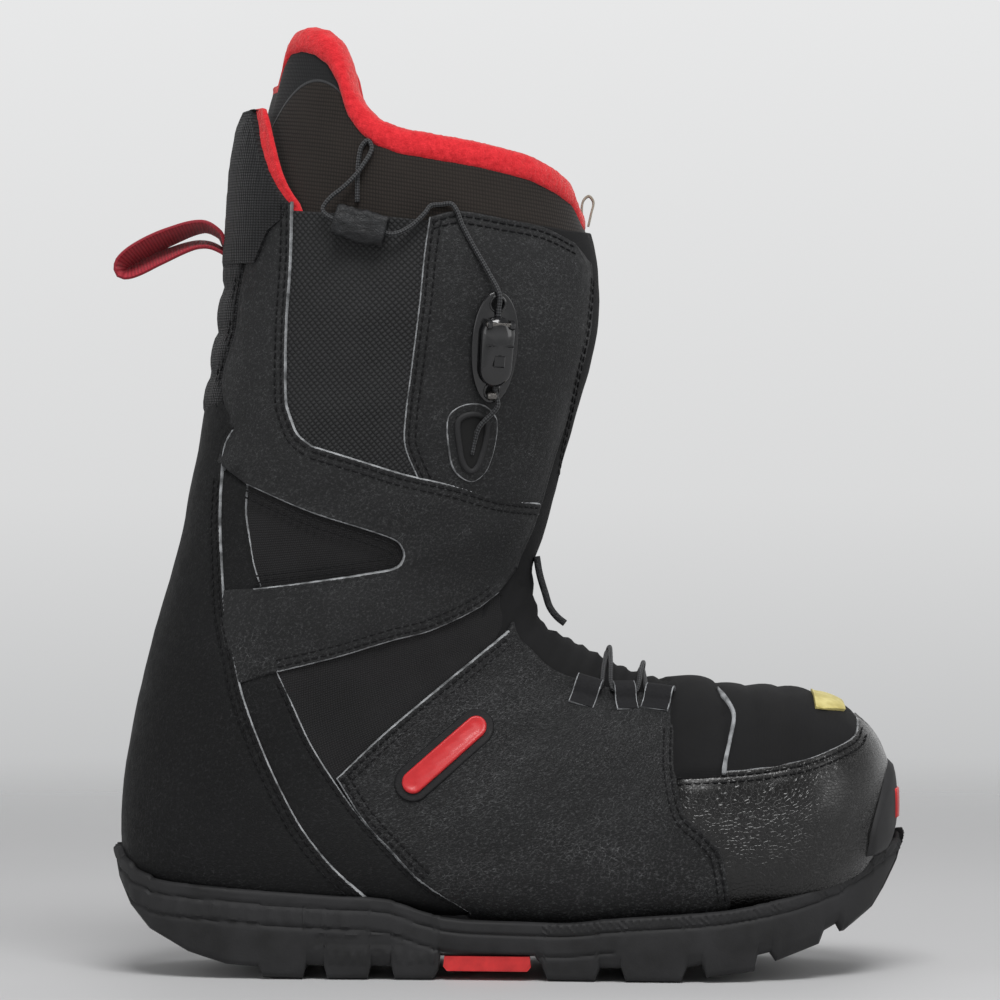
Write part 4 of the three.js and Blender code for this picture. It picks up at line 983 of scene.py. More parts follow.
def both_sides(runs, about, pole=None):
    """An outline that crosses the middle plane at turn `about` (0 the front, -1 the back)."""
    line, edged, lined = trace(runs)
    far = [abs(u - about) > 1e-6 for u, _ in line]
    first, last = far.index(True), len(far) - 1 - far[::-1].index(True)
    low = max(0, first - 1)
    high = last + 1 if pole else min(len(line), last + 2)
    line, edged, lined = line[low:high], edged[low:high], lined[low:high]
    if pole:
        u = line[-1][0]
        count = 9
        extra = [(u + (about - u) * k / count, pole) for k in range(count)]
        line += extra
        edged += [False] * count
        lined += [False] * count
    mirror = [(2 * about - u, s) for u, s in line[::-1]]
    if abs(line[-1][0] - about) < 1e-6:
        mirror = mirror[1:]
        tail = slice(1, None)
    else:
        tail = slice(0, None)
    if abs(line[0][0] - about) < 1e-6:
        mirror = mirror[:-1]
        flags = (edged[::-1][tail][:-1], lined[::-1][tail][:-1])
    else:
        flags = (edged[::-1][tail], lined[::-1][tail])
    return line + mirror, edged + flags[0], lined + flags[1]


SIDES = {"lateral": -1, "medial": 1}


# ------------------------------------------------------------------ stitching
STITCH_LENGTH, STITCH_RADIUS, STITCH_PITCH = 2.6, 0.36, 3.4


class Stitches:
    """Gathers the stitches of one region and makes them one mesh."""

    def __init__(self, name, slot, body):
        self.name, self.slot, self.body = name, slot, body
        self.verts, self.faces = [], []

    def stitch(self, middle, tangent, normal):
        side = np.cross(normal, tangent)
        rings = ((-0.5, 0.35, -0.25), (-0.36, 0.95, 0.02), (0, 1.0, 0.12), (0.36, 0.95, 0.02),
                 (0.5, 0.35, -0.25))
        base = len(self.verts)
        n = 6
        for place, size, lift in rings:
            centre = middle + tangent * place * STITCH_LENGTH * MM + normal * lift * STITCH_RADIUS * MM
            for k in range(n):
                a = 2 * pi * k / n
                self.verts.append(centre + (side * cos(a) + normal * sin(a)) * STITCH_RADIUS * size * MM)
        for r in range(len(rings) - 1):
            for k in range(n):
                a, b = base + r * n + k, base + r * n + (k + 1) % n
                self.faces.append((a, b, b + n, a + n))
        self.faces.append(tuple(base + k for k in range(n))[::-1])
        self.faces.append(tuple(base + (len(rings) - 1) * n + k for k in range(n)))

    def along(self, points, rise, offset, side_of):
        """A row beside a side-view path, offset millimetres to its side, at a height above the form."""
        line = np.array([SHELL.find(x, z) for x, z in smooth_path(points, 1.2)])
        keep = [0] + [i for i in range(1, len(line)) if np.linalg.norm(line[i] - line[i - 1]) > 1e-7]
        line = line[keep]
        for side in SIDES.values():
            u = line[:, 0] * (-side)
            at = SHELL.at(u, line[:, 1], rise * MM)
            normal = SHELL.normal(u, line[:, 1])
            tangent = np.gradient(at, axis=0)
            tangent /= np.maximum(np.linalg.norm(tangent, axis=1, keepdims=True), 1e-12)
            out = np.cross(normal, tangent) * side_of * side
            at = at + out * offset * MM
            run = np.concatenate([[0], np.cumsum(np.linalg.norm(np.diff(at, axis=0), axis=1))]) / MM
            for place in np.arange(STITCH_PITCH / 2, run[-1] - STITCH_PITCH / 2, STITCH_PITCH):
                p, t, n = (np.array([np.interp(place, run, row[:, i]) for i in range(3)])
                           for row in (at, tangent, normal))
                self.stitch(p, t / np.linalg.norm(t), n / np.linalg.norm(n))

    def make(self):
        piece = mesh_object(self.name, self.verts, self.faces)
        return finish_piece(piece, MATERIALS["thread"], self.body)


# ------------------------------------------------------------------ shell panels
def beside(points, dx):
    return [(x + dx, z) for x, z in points]


def vamp_relief(uv, base, d):
    """Quilted rolls across the vamp."""
    x = base[:, 0] / KX
    bend = 2.2 * np.sin(np.abs(uv[:, 0]) * pi)
    x = x - bend
    seams = (57, 81, 93, 106, 120, 136)
    height = np.zeros(len(x))
    for a, b, tall in zip(seams[:-1], seams[1:], (3.2, 1.2, 1.3, 1.3, 1.1)):
        t = np.clip((x - (a + b) / 2) / ((b - a) / 2), -1, 1)
        height += tall * np.clip(1 - t * t, 0, 1) ** 0.55 * (np.abs(t) < 1)
    return height


TONGUE_SHARE = 0.15


def tongue_relief(uv, base, d):
    """A padded crown between the flaps, with fine ribs low down."""
    x = base[:, 0] / KX
    z = base[:, 2] / KZ
    ribs = 0.5 * np.sin((x - 0.6 * z) * 2 * pi / 7.0) * np.clip((185 - z) / 40, 0.12, 1)
    off = np.clip(np.abs(uv[:, 0]) / TONGUE_SHARE, 0, 1)
    return (ribs + 2.2) * (1 - off ** 2) - 1.2


def crease_relief(uv, base, d):
    """Walking creases over the instep, fading towards the sole."""
    x = base[:, 0] / KX
    z = base[:, 2] / KZ
    fold = np.sin((x * 0.7 - z * 0.75) * 0.42 + 2.2 * rumple(base, 22, 3))
    amount = np.clip((z - 55) / 60, 0, 1) * np.clip(d / 9, 0, 1)
    return 0.35 * fold * amount + 0.3 * rumple(base, 60, 8) * np.clip(d / 6, 0, 1)


def rib_relief(uv, base, d):
    """Upright ribs of the knit."""
    run = uv[:, 0] * 150
    return 0.35 * np.sin(run * 2 * pi / 5.2)


def shell_panels():
    """All sewn panels of foot and cuff, from the side-view outlines."""
    m = MATERIALS
    line = both_sides([("dark", [(-150, 225), (-124, 224.5), (-112.5, 223), (-108.2, 217.5)]),
                       ("edge", COUNTER_EDGE[::-1]),
                       ("under", [(-50, 24), (-60, 21), (-120, 21), (-160, 24)])], -1)
    panel("heel_counter_cover", line, 0.75, 2.2, m["suede"], "suede", "blend", ("heel_counter", "backstay"),
          stitches=(2.2, 5.0), wrinkle=0.5, puff=0.35, seed=2)
    line = both_sides([("edge", CAP_TOP[::-1]), ("under",
                                                 [(59, 80), (62, 62), (71, 52), (76.5, 46), (80, 24),
                                                  (82, 18),
                       (94, 17), (118, 24), (134, 34), (144, 47)])], 0, pole=LAST + 0.97)
    panel("toe_cap_cover", line, 0.15, 2.0, m["toe"], "toe_leather", "foot", ("toe_cap",),
          stitches=(2.4, 5.0), wrinkle=0.5, puff=0.7, grid=3.6, seed=4, crown=7, dip=1.6)
    line = both_sides([("under", [(56, 150), (58, 96), (58, 78), (60, 74), (82, 75), (98, 76.5), (115, 79.5),
                                  (129, 84.5),
                       (138, 92), (139, 101), (134, 112)])], 0)
    vamp = panel("vamp_cover", line, -0.9, 1.4, m["nylon"], "quilted_nylon", "foot", ("vamp",),
          wrinkle=0.5, puff=0.0, grid=2.6, extra=vamp_relief, seed=5, filled=(5.0, 1.2))
    for name, sign in SIDES.items():
        quarter = one_side([("edge", QUARTER_REAR), ("edge", QUARTER_TOP),
                            ("throat", ((2, 137), (64, 108), 20)),
                            ("dark", QUARTER_FRONT[1:]),
                            ("under", [(84.5, 22), (60, 14), (0, 16), (-20, 20)])], sign)
        panel("quarter_cover_" + name, quarter, 0.8 if sign < 0 else 1.5, 2.0, m["quarter"],
              "quarter_leather", "blend",
              ("quarter_" + name,), stitches=(2.2, 4.8), wrinkle=0.45, puff=0.5,
              extra=crease_relief, seed=6 + sign)
        gore = one_side([("under", [(-50, 26), (-64, 40), (-76, 55), (-86, 74), (-95, 94), (-101, 112),
                                    (-103, 122),
                                    (-66, 130), (-30, 140), (-8, 150), (6, 152), (-6, 128), (-24, 110),
                                    (-44, 92),
                                    (-60, 76), (-50, 60), (-40, 48), (-28, 38), (-10, 24)])], sign)
        panel("ankle_gore_cover_" + name, gore, -1.0, 1.1, m["fine"], "fabric_fine", "blend",
              ("ankle_gore_" + name,), wrinkle=0.7, puff=0, seed=9)
        braid = one_side([("edge", BRAID_EDGE), ("under",
                                                 [(-92, 121), (-106, 116), (-102.5, 100), (-95, 84),
                                                  (-84, 60),
                                                           (-70, 42), (-52, 26), (-22, 20)])], sign)
        panel("counter_piping_" + name, braid, -0.3, 1.0, m["suede"], "suede", "blend", (),
              wrinkle=0.2, puff=0.2, stitches=(2.2,), seed=11, grid=3.2)
        harness = one_side([("edge", STRAP_LOWER[1:-1]),
                            ("throat", ((8, 158), (22, 182.5), 18)),
                            ("edge", F_EDGE[-2::-1]), ("edge", MESH_REAR[::-1]),
                            ("dark", [(-84, 299), (-90, 297)]),
                            ("dark", STRIP_EDGE[::-1]),
                            ("under", [(-111, 208), (-115, 200)]),
                            ("edge", WINDOW_TOP[1:] + WINDOW_LOW[:-1]),
                            ("under", [(-114, 149.2), (-112, 130), (-107, 113)])], sign)
        panel("harness_cover_" + name, harness, 0.55, 1.8, m["flap"], "harness_leather", "cuff",
              ("harness_" + name,), stitches=(2.2, 4.8), wrinkle=0.45, puff=0.5, seed=13 + sign)
        window = one_side([("under", [(-116, 198), (-98, 193), (-74, 184), (-46, 175), (-36, 168),
                                      (-36, 160),
                                      (-46, 153), (-80, 147), (-98, 145), (-116, 144)])], sign)
        panel("ankle_window_cover_" + name, window, -1.0, 1.2, m["fine"], "fabric_fine", "cuff",
              ("ankle_window_" + name,), wrinkle=0.6, puff=0, seed=15)
        insert = one_side([("edge", [(-96, 151), (-98.5, 159), (-100, 167), (-102, 179.5), (-101.5, 190)]),
                           ("under", [(-106, 195), (-116, 196), (-116, 148), (-104, 146)])], sign)
        panel("window_piping_" + name, insert, -0.35, 0.9, m["suede"], "suede", "cuff", (),
              wrinkle=0.2, puff=0.2, stitches=(2.2,), seed=17, grid=3.2)
        mesh = one_side([("dark", [(-90, 296), (-70, 294.5), (-50, 293), (-28, 291)]),
                         ("under", [(-26, 270), (-30, 230), (-34, 206), (-30, 190), (-60, 194), (-80, 200),
                                    (-90, 216),
                                    (-91, 250), (-89, 285)])], sign)
        panel("cuff_mesh_cover_" + name, mesh, -1.1, 1.2, m["mesh"], "cuff_weave", "cuff",
              ("cuff_mesh_" + name,),
              wrinkle=0.9, puff=0.5, seed=19)
        flap = one_side([("edge", FLAP_REAR[::-1]), ("dark", CUFF_TOP[:-2]),
                         ("throat", ((33, 277), (22, 180), 17)),
                         ("under", [(12, 178), (-4, 180), (-30, 187)])], sign)
        panel("cuff_flap_cover_" + name, flap, 0.15, 1.8, m["flap"], "flap_leather", "cuff",
              ("cuff_flap_" + name,),
              stitches=(2.2, 4.8), wrinkle=0.5, puff=0.6, seed=21 + sign)


def back_panels():
    """The ribbed panel behind the leg, in four padded rolls."""
    m = MATERIALS
    line = both_sides([("under", [(-150, 284), (-103, 282), (-100, 278), (-104, 262), (-105, 249),
                                  (-110, 233), (-109, 221),
                                  (-109, 216), (-150, 216)])], -1)
    def pads(uv, base, d):
        z = base[:, 2] / KZ
        height = np.zeros(len(z))
        for low, high in ((216, 233.5), (233.5, 250.5), (250.5, 267), (267, 284)):
            t = np.clip((z - (low + high) / 2) / ((high - low) / 2), -1, 1)
            height += 2.6 * np.clip(1 - t * t, 0, 1) ** 0.5 * (np.abs(t) < 1)
        return height * np.clip(d / 7, 0, 1) + rib_relief(uv, base, d) * 0.5
    panel("back_stretch_cover", line, -1.2, 1.2, m["rib"], "ribbed_knit", "cuff", ("back_stretch_panel",),
          wrinkle=0.2, puff=0, extra=pads, grid=2.4, seed=31, filled=(5.0, 1.2))


def tongue():
    """The lower and the upper half of the tongue."""
    m = MATERIALS
    lower = both_sides([("under", [(-4, 165), (-10, 140), (-14, 130), (-8, 120), (2, 116), (66, 92),
                                   (68, 130)])], 0)
    panel("tongue_lower_cover", lower, -0.6, 1.6, m["nylon"], "quilted_nylon", "blend", ("tongue_lower",),
          wrinkle=0.5, puff=0, extra=tongue_relief, grid=3.0, seed=33)
    upper = both_sides([("dark", [(60, 290), (30, 289), (8, 291), (-4, 290)]),
                        ("under", [(-6, 240), (-12, 200), (-16, 168), (-12, 150), (20, 140)])], 0)
    panel("tongue_upper_cover", upper, -0.6, 1.6, m["nylon"], "quilted_nylon", "cuff", ("tongue_upper",),
          wrinkle=0.5, puff=0, extra=tongue_relief, grid=3.4, seed=35)


# ------------------------------------------------------------------ liner and its red binding
LINER_OUT, LINER_IN = 3.0, 10.0
OUTER = Surface(LINER_OUT, 1.0)
INNER = Surface(LINER_IN, 1.0)


def grid_mesh(name, rows, closed=True, caps=False, sharp=None):
    """rows: arrays (n, 3), each a ring (or an open row); joined in order."""
    n = len(rows[0])
    verts = np.concatenate(rows)
    faces = []
    count = n if closed else n - 1
    for r in range(len(rows) - 1):
        for k in range(count):
            a, b = r * n + k, r * n + (k + 1) % n
            faces.append((a, b, b + n, a + n))
    if caps:
        faces.append(tuple(range(n))[::-1])
        faces.append(tuple((len(rows) - 1) * n + k for k in range(n)))
    return mesh_object(name, verts, faces, sharp=sharp)


def liner_edge(columns):
    """Place s of the liner's top edge for each turn u."""
    u = np.linspace(-1, 1, columns, endpoint=False)
    line = np.array(LINER_TOP)
    tops = []
    for turn in u:
        s = np.linspace(9, 0, 1400)
        at = OUTER.at(np.full(len(s), turn), s) / K
        hit = np.nonzero(at[:, 2] >= np.interp(at[:, 0], line[:, 0], line[:, 1]))[0]
        tops.append(s[hit[0]] if len(hit) else 0.0)
    return u, np.array(tops)


def shifted_down(u, s_top, down):
    """Place s a distance in mm below the top edge, measured along the liner."""
    out = []
    for turn, top in zip(u, s_top):
        s = np.linspace(top, top + 3, 60)
        at = OUTER.at(np.full(60, turn), s)
        run = np.concatenate([[0], np.cumsum(np.linalg.norm(np.diff(at, axis=0), axis=1))]) / MM
        out.append(np.interp(down, run, s))
    return np.array(out)


def liner():
    """The liner as one closed shell, and the fleece binding over its edge."""
    columns = 180
    u, top = liner_edge(columns)
    downs = [1.8, 2.6, 3.6, 5.4, 7.8, 10.5] + list(np.arange(14, 92, 4.0))
    places = [shifted_down(u, top, d) for d in downs]
    last = places[-1]
    places += [last + (17.9 - last) * t for t in np.linspace(0, 1, 34)[1:]]
    lip_out = OUTER.at(u, places[0])
    lip_in = INNER.at(u, places[0])
    up = OUTER.at(u, np.maximum(top - 0.08, 0)) - OUTER.at(u, top + 0.02)
    up /= np.linalg.norm(up, axis=1, keepdims=True)
    inner_rows = [INNER.at(u, place) for place in places[::-1]]
    outer_rows = []
    for k, place in enumerate(places):
        puff = 0.0
        if k < len(downs):
            puff = 1.1 * (1 - np.exp(-downs[k] / 8))
        fade = 1 if k < len(downs) else 0
        base = OUTER.at(u, place)
        ripple = rumple(base, 30, 40) * 0.9 * fade * min(1, downs[k] / 12 if k < len(downs) else 0)
        outer_rows.append(OUTER.at(u, place, (puff * fade + ripple) * MM))
    lip = []
    for t in np.linspace(0, pi, 7)[1:-1]:
        mix_ = (1 - cos(t)) / 2
        lip.append(lip_in * (1 - mix_) + lip_out * mix_ + up * 1.2 * MM * sin(t))
    rows = inner_rows + lip + outer_rows + [inner_rows[0]]
    piece = grid_mesh("liner_cover", rows)
    bm_weld(piece)
    co = np.array([v.co for v in piece.data.vertices])
    angle = np.arctan2(co[:, 1], co[:, 0] + 0.04)
    attribute(piece, "st", np.stack([angle * 0.05, co[:, 2] + 0.15 * co[:, 0], co[:, 1]], 1), "FLOAT_VECTOR")
    design = co / K
    arc = 346 - 0.054 * (design[:, 0] + 75) ** 2  # the smooth tab above this seam, behind x = -62 only
    attribute(piece, "tab", design[:, 2] - arc - 900 * (design[:, 0] > -62))
    finish_piece(piece, MATERIALS["liner"], "blend", ("liner_foot", "liner_cuff"))

    columns = 620
    fine_u = np.linspace(-1, 1, columns, endpoint=False)
    wide = np.interp(fine_u, np.append(u, 1.0), np.append(top, top[0]))
    def ring(place, surface, h):
        base = surface.at(fine_u, place)
        fuzz = 0.22 * rumple(base, 1100, 50) + 0.12 * rumple(base, 400, 51)
        return surface.at(fine_u, place, (h + fuzz) * MM)
    rows = []
    depths = (8.6, 8.2, 7.0, 4.6, 2.4, 0.6)
    deep = [shifted_down(fine_u, wide, d) for d in depths]
    side = np.clip((OUTER.at(fine_u, wide)[:, 0] / KX + 90) / 6, 0, 1)
    side = side * side * (3 - 2 * side)
    for place, d, h in zip(deep, depths, (0.2, 1.0, 1.6, 2.0, 1.9, 1.2)):
        rows.append(ring(deep[-1] + (place - deep[-1]) * (0.15 + 0.85 * side), OUTER,
                         0.3 + (h - 0.3) * side))
    a, b = OUTER.at(fine_u, deep[-1], 1.2 * MM), INNER.at(fine_u, deep[-1], -1.4 * MM)
    up2 = OUTER.at(fine_u, np.maximum(wide - 0.08, 0)) - OUTER.at(fine_u, wide + 0.02)
    up2 /= np.linalg.norm(up2, axis=1, keepdims=True)
    for t in np.linspace(0, pi, 8)[1:-1]:
        mix_ = (1 - cos(t)) / 2
        base = a * (1 - mix_) + b * mix_ + up2 * 2.6 * MM * sin(t)
        fuzz = 0.22 * rumple(base, 1100, 50) + 0.12 * rumple(base, 400, 51)
        rows.append(base + up2 * fuzz[:, None] * MM)
    for place, h in zip(deep[::-1], (-1.4, -1.9, -2.0, -1.7, -0.9, 0.3)):
        rows.append(ring(place, INNER, h))
    piece = grid_mesh("liner_binding", rows + [rows[0]])
    bm_weld(piece)
    finish_piece(piece, MATERIALS["fleece"], "cuff", ("liner_collar_trim",))


def bm_weld(piece, distance=1e-6):
    """Joins points that meet, and turns all faces outwards."""
    mesh = bmesh.new()
    mesh.from_mesh(piece.data)
    bmesh.ops.remove_doubles(mesh, verts=mesh.verts, dist=distance)
    bmesh.ops.recalc_face_normals(mesh, faces=mesh.faces)
    mesh.to_mesh(piece.data)
    mesh.free()
    piece.data.update()


def rear_collar():
    """The padded collar behind the leg and its red lining."""
    m = MATERIALS
    front = beside(COLLAR_FRONT, -1.6)
    line = both_sides([("dark", [(-150, 337), (-104, 336), (-99.5, 336.2)]), ("dark", front[::-1]),
                       ("under", [(-86, 294), (-93, 288), (-98, 276), (-150, 275)])], -1)
    def ribbed(uv, base, d):
        return 0.16 * np.abs(np.sin(base[:, 2] / MM * pi / 1.9)) + 0.08 * np.sin(uv[:, 0] * 260)
    piece = panel("rear_collar_cover", line, 0.6, 3.8, m["rib"], "ribbed_knit", "cuff", ("rear_collar",),
                  wrinkle=0.4, puff=1.6, extra=ribbed, grid=2.2, seed=41, crown=6,
                  filled=(6.0, 1.8))
    ahead = [(x + 4.2 - 1.2 * abs(z - 318) / 18, z + 0.5) for x, z in front]
    line = both_sides([("dark", [(-150, 337.5), (-102, 337), (-98.5, 337)]), ("dark", ahead[::-1]),
                       ("under", [(-80, 292), (-90, 286), (-98, 276), (-150, 275)])], -1)
    def pile(uv, base, d):
        return 0.30 * rumple(base, 900, 52) + 0.3 * rumple(base, 330, 53)
    panel("rear_collar_lining", line, -1.9, 1.6, m["fleece"], "red_fleece", "cuff", ("rear_collar_fleece",),
          wrinkle=0.2, puff=0.7, extra=pile, grid=1.7, seed=42, crown=3)


# ------------------------------------------------------------------ sole
PLAN = np.array([[-155, 7, 7], [-152.5, 16, 16], [-146, 28, 28], [-132, 38, 38], [-110, 44, 43.5],
                 [-75, 47, 44.5],
                 [-30, 49.5, 44], [15, 54.5, 49], [50, 59.5, 56.5], [75, 60.5, 60.5], [98, 57.5, 60.3],
                 [118, 48, 55.5],
                 [134, 34, 46.5], [146, 17, 33], [152.5, 3, 22], [155, -8, 8]], float)
TREAD = [(-155, 46), (-153, 37), (-148, 27), (-140, 18), (-125, 10), (-110, 5.5), (-97, 4.5), (-95.5, 0.6),
         (-80, 0),
         (-78.5, 5), (-72, 5), (-70.5, 0), (-55, 0), (-53.5, 5), (-46, 5), (-44.5, 0), (-30, 0), (-28, 3),
         (-27, 9.2),
         (9, 9.2), (12, 5), (14, 0), (32, 0), (34, 5), (42, 5), (44, 0), (65, 0), (67.5, 5.5), (73, 6.5),
         (75, 1.6),
         (93.5, 4), (95, 10), (100, 11), (102.5, 7.5), (119, 13), (121, 18), (127, 21), (129, 17.5),
         (141, 26),
         (146, 33), (152, 43), (155.2, 52)]
RIM = [(-156, 49), (-153, 48), (-149, 42), (-137, 37), (-100, 34), (-68, 32), (-53, 31.5), (-44, 30),
       (-33, 25.5),
       (-20, 23), (22, 22), (38, 24), (82, 27), (109, 32), (127, 37.5), (140, 44.5), (148, 50), (156, 51.5)]


SOLE_END = 155.1


def plan_sides(x):
    """Outer and inner half widths at places along the sole, round at both ends."""
    low, high = -155.15, 155.15
    knots = PLAN[:, 0]
    def warp(v):
        v = np.clip(v, low, high)
        return np.where(v < -110, np.sqrt(np.maximum(v - low, 0)) - np.sqrt(-110 - low),
                        np.where(v > 118, np.sqrt(high - 118) - np.sqrt(np.maximum(high - v, 0)),
                                 (v + 110) / 14))
    base = warp(knots) + (knots > 118) * (228 / 14)
    place = warp(x) + (x > 118) * (228 / 14)
    return [np.array(catmull_line(place, base, PLAN[:, k])) for k in (1, 2)]


def catmull_line(x, knots, values):
    """Hermite interpolation of a table of values."""
    slope = np.gradient(values, knots)
    i = np.clip(np.searchsorted(knots, x) - 1, 0, len(knots) - 2)
    h = knots[i + 1] - knots[i]
    t = np.clip((x - knots[i]) / h, 0, 1)
    return ((2 * t**3 - 3 * t**2 + 1) * values[i] + (t**3 - 2 * t**2 + t) * h * slope[i]
            + (-2 * t**3 + 3 * t**2) * values[i + 1] + (t**3 - t**2) * h * slope[i + 1])


def sole():
    """The cup outsole: stations along x, each one a ring over the tread, both walls and the floor."""
    stations = set(np.round(np.arange(-154, 154.5, 0.9), 3))
    for x, _ in TREAD:
        stations |= {round(x - 0.3, 3), round(x + 0.3, 3), round(x, 3)}
    for t in np.linspace(0, 1, 16):
        stations |= {round(3 * t * t - SOLE_END, 3), round(SOLE_END - 3 * t * t, 3)}
    x = np.array(sorted(v for v in stations if abs(v) <= SOLE_END))
    tread, rim = np.array(TREAD), np.array(RIM)
    low = np.interp(x, tread[:, 0], tread[:, 1])
    high = np.interp(x, rim[:, 0], rim[:, 1])
    high = np.convolve(np.pad(high, 6, mode="edge"), np.ones(13) / 13, "valid")
    high = np.maximum(high, low + 3)
    outer, inner = plan_sides(x)
    levels = np.concatenate([[0, 0.012, 0.035, 0.07], np.linspace(0.11, 0.93, 26), [0.96, 0.985, 1.0]])
    loops = []
    for side, half in ((-1, outer), (1, inner)):
        line = np.stack([x, side * half], 1)
        tangent = np.gradient(line, axis=0)
        tangent /= np.linalg.norm(tangent, axis=1, keepdims=True)
        normal = np.stack([-tangent[:, 1], tangent[:, 0]], 1) * (1 if side > 0 else -1)
        run = np.concatenate([[0], np.cumsum(np.linalg.norm(np.diff(line, axis=0), axis=1))])
        wall = []
        for t in levels:
            z = low + (high - low) * t
            d = high - z
            up = z - low
            off = -1.5 * np.clip(1 - up / 1.5, 0, 1) ** 2 - 0.5
            off += 0.9 * np.sin(np.clip(t, 0, 1) * pi)
            off -= 0.8 * np.exp(-((d - 13.0) / 0.7) ** 2) * (x < 40)
            off -= 0.7 * np.exp(-((d - 5.2) / 0.6) ** 2)
            off += 0.45 * np.clip(1 - d / 4.6, 0, 1) ** 0.4 * (d < 4.6)
            off -= 1.4 * np.clip(1 - d / 1.1, 0, 1) ** 2
            ribs = np.clip(np.sin(run * 2 * pi / 7.2) * 3 + 0.5, 0, 1)
            ribbed = (x < -58) * np.clip((x + 153) / 5, 0, 1)
            off += 0.45 * ribs * ribbed * np.clip((12.2 - d) * 2, 0, 1) * np.clip((d - 6) * 2, 0, 1)
            off += 0.28 * np.sin((run + 1.2 * z) * 2 * pi / 3.1) * (x > 12) * (d < 4.2) * (d > 0.8)
            saw = np.clip(np.sin(x * 2 * pi / 4.4) * 4, -1, 1)
            off += 0.5 * (1 + saw) / 2 * (x > -70) * (x < -26) * (z > 6.4) * (z < 10.4)
            gap = (low > 4.4) * (x > -90) * (x < 130)
            off -= 0.8 * gap * np.clip(1 - up / 5, 0, 1) * ((x < -28) | (x > 10))
            off -= 0.45 * (np.abs(x + 58) < 17) * (z > 12.5) * (z < 17.0) * (x < -40)
            wall.append(np.stack([x + normal[:, 0] * off, side * half + normal[:, 1] * off, z], 1))
        inward = [np.stack([x + normal[:, 0] * -o, side * half - normal[:, 1] * o, high - h], 1)
                  for o, h in ((2.6, 0.0), (4.6, 1.6), (5.6, 4.0))]
        floor_z = np.minimum(high - 4.5, np.interp(x, [-146, -116, -70, -18, 35, 68, 94, 120, 140, 150],
                                                    [33, 23, 21, 17, 14, 14, 16, 21, 33, 55]) - 1.0)
        floor_z = np.maximum(floor_z, low + 1.5)
        inward += [np.stack([x, side * np.maximum(half - 9, half * 0.3), floor_z], 1)]
        loops.append((wall, inward))
    (wall_l, in_l), (wall_m, in_m) = loops
    middle_low = [np.stack([x, -outer * f if f > 0 else inner * -f, low], 1)
                  for f in (0.85, 0.6, 0.3, 0.0, -0.3, -0.6, -0.85)]
    ring = ([middle_low[3], middle_low[2], middle_low[1], middle_low[0]] + wall_l + in_l
            + in_m[::-1] + wall_m[::-1] + [middle_low[6], middle_low[5], middle_low[4]])
    stack = np.stack(ring, 1) * K
    rows = [stack[i] for i in range(len(x))]
    piece = grid_mesh("sole_cover", rows, closed=True, caps=True, sharp=38)
    bm_weld(piece, 1e-7)
    finish_piece(piece, MATERIALS["rubber"], "foot", ("outsole",))


# ------------------------------------------------------------------ cords, hardware, small pieces
def side_frame(x, z, side, heading, raise_=0.0):
    """Middle, across, along and outward directions of a place on one side."""
    u, s = SHELL.find(x, z)
    u = u if side < 0 else -u
    at = SHELL.at(u, s, raise_ * MM)[0]
    normal = SHELL.normal(u, s)[0]
    angle = radians(heading)
    way = np.array([cos(angle), 0, sin(angle)])
    up = way - normal * np.dot(way, normal)
    up /= np.linalg.norm(up)
    return at, np.cross(up, normal), up, normal


def to_world(place, points):
    """Local millimetres of a side frame to metres."""
    at, x, y, z = place
    p = np.atleast_2d(points)
    return at + (p[:, :1] * x + p[:, 1:2] * y + p[:, 2:3] * z) * MM


CORD_STEP = 0.8


def tube(name, points, radius, material, body, nodes=(), around=12):
    """A braided cord along points in metres."""
    line = np.array(smooth_path(points, CORD_STEP * MM, whole=np.ceil))
    tangent = np.gradient(line, axis=0)
    tangent /= np.linalg.norm(tangent, axis=1, keepdims=True)
    side = np.cross(tangent[0], (0.3, 1, 0.2))
    rows, st = [], []
    run = np.concatenate([[0], np.cumsum(np.linalg.norm(np.diff(line, axis=0), axis=1))])
    for i, (p, t) in enumerate(zip(line, tangent)):
        side = side - t * np.dot(side, t)
        side /= np.linalg.norm(side)
        other = np.cross(t, side)
        a = np.linspace(0, 2 * pi, around, endpoint=False)
        strand = 1 + 0.045 * np.cos(3 * a + run[i] / MM * 2.8) * np.cos(3 * a - run[i] / MM * 2.8)
        rows.append(p + (np.outer(np.cos(a) * strand, side) + np.outer(np.sin(a) * strand,
                                                                       other)) * radius * MM)
        st += [[k / around, run[i], 0] for k in range(around)]
    piece = grid_mesh(name, rows, caps=True)
    attribute(piece, "st", st, "FLOAT_VECTOR")
    finish_piece(piece, material, body, nodes)
    return piece


LACE = 1.8
LOCK = (-6.8, 243, 88, 0.8)  # place in side view, heading and height
LOCK_LENGTH, LOCK_WIDTH = 43, 18.5
LOCK_PLATE, HOLE_IN = 2.2, 4.8
LANE = LOCK_PLATE + 0.3 + LACE / 2  # the cord's middle above the plate's back
ON = LACE / 2 + 0.4  # the cord's middle where it lies on the shell
KEEPER = (-57, 289, -15)  # place in side view and heading
KEEPER_LANE = 3.3


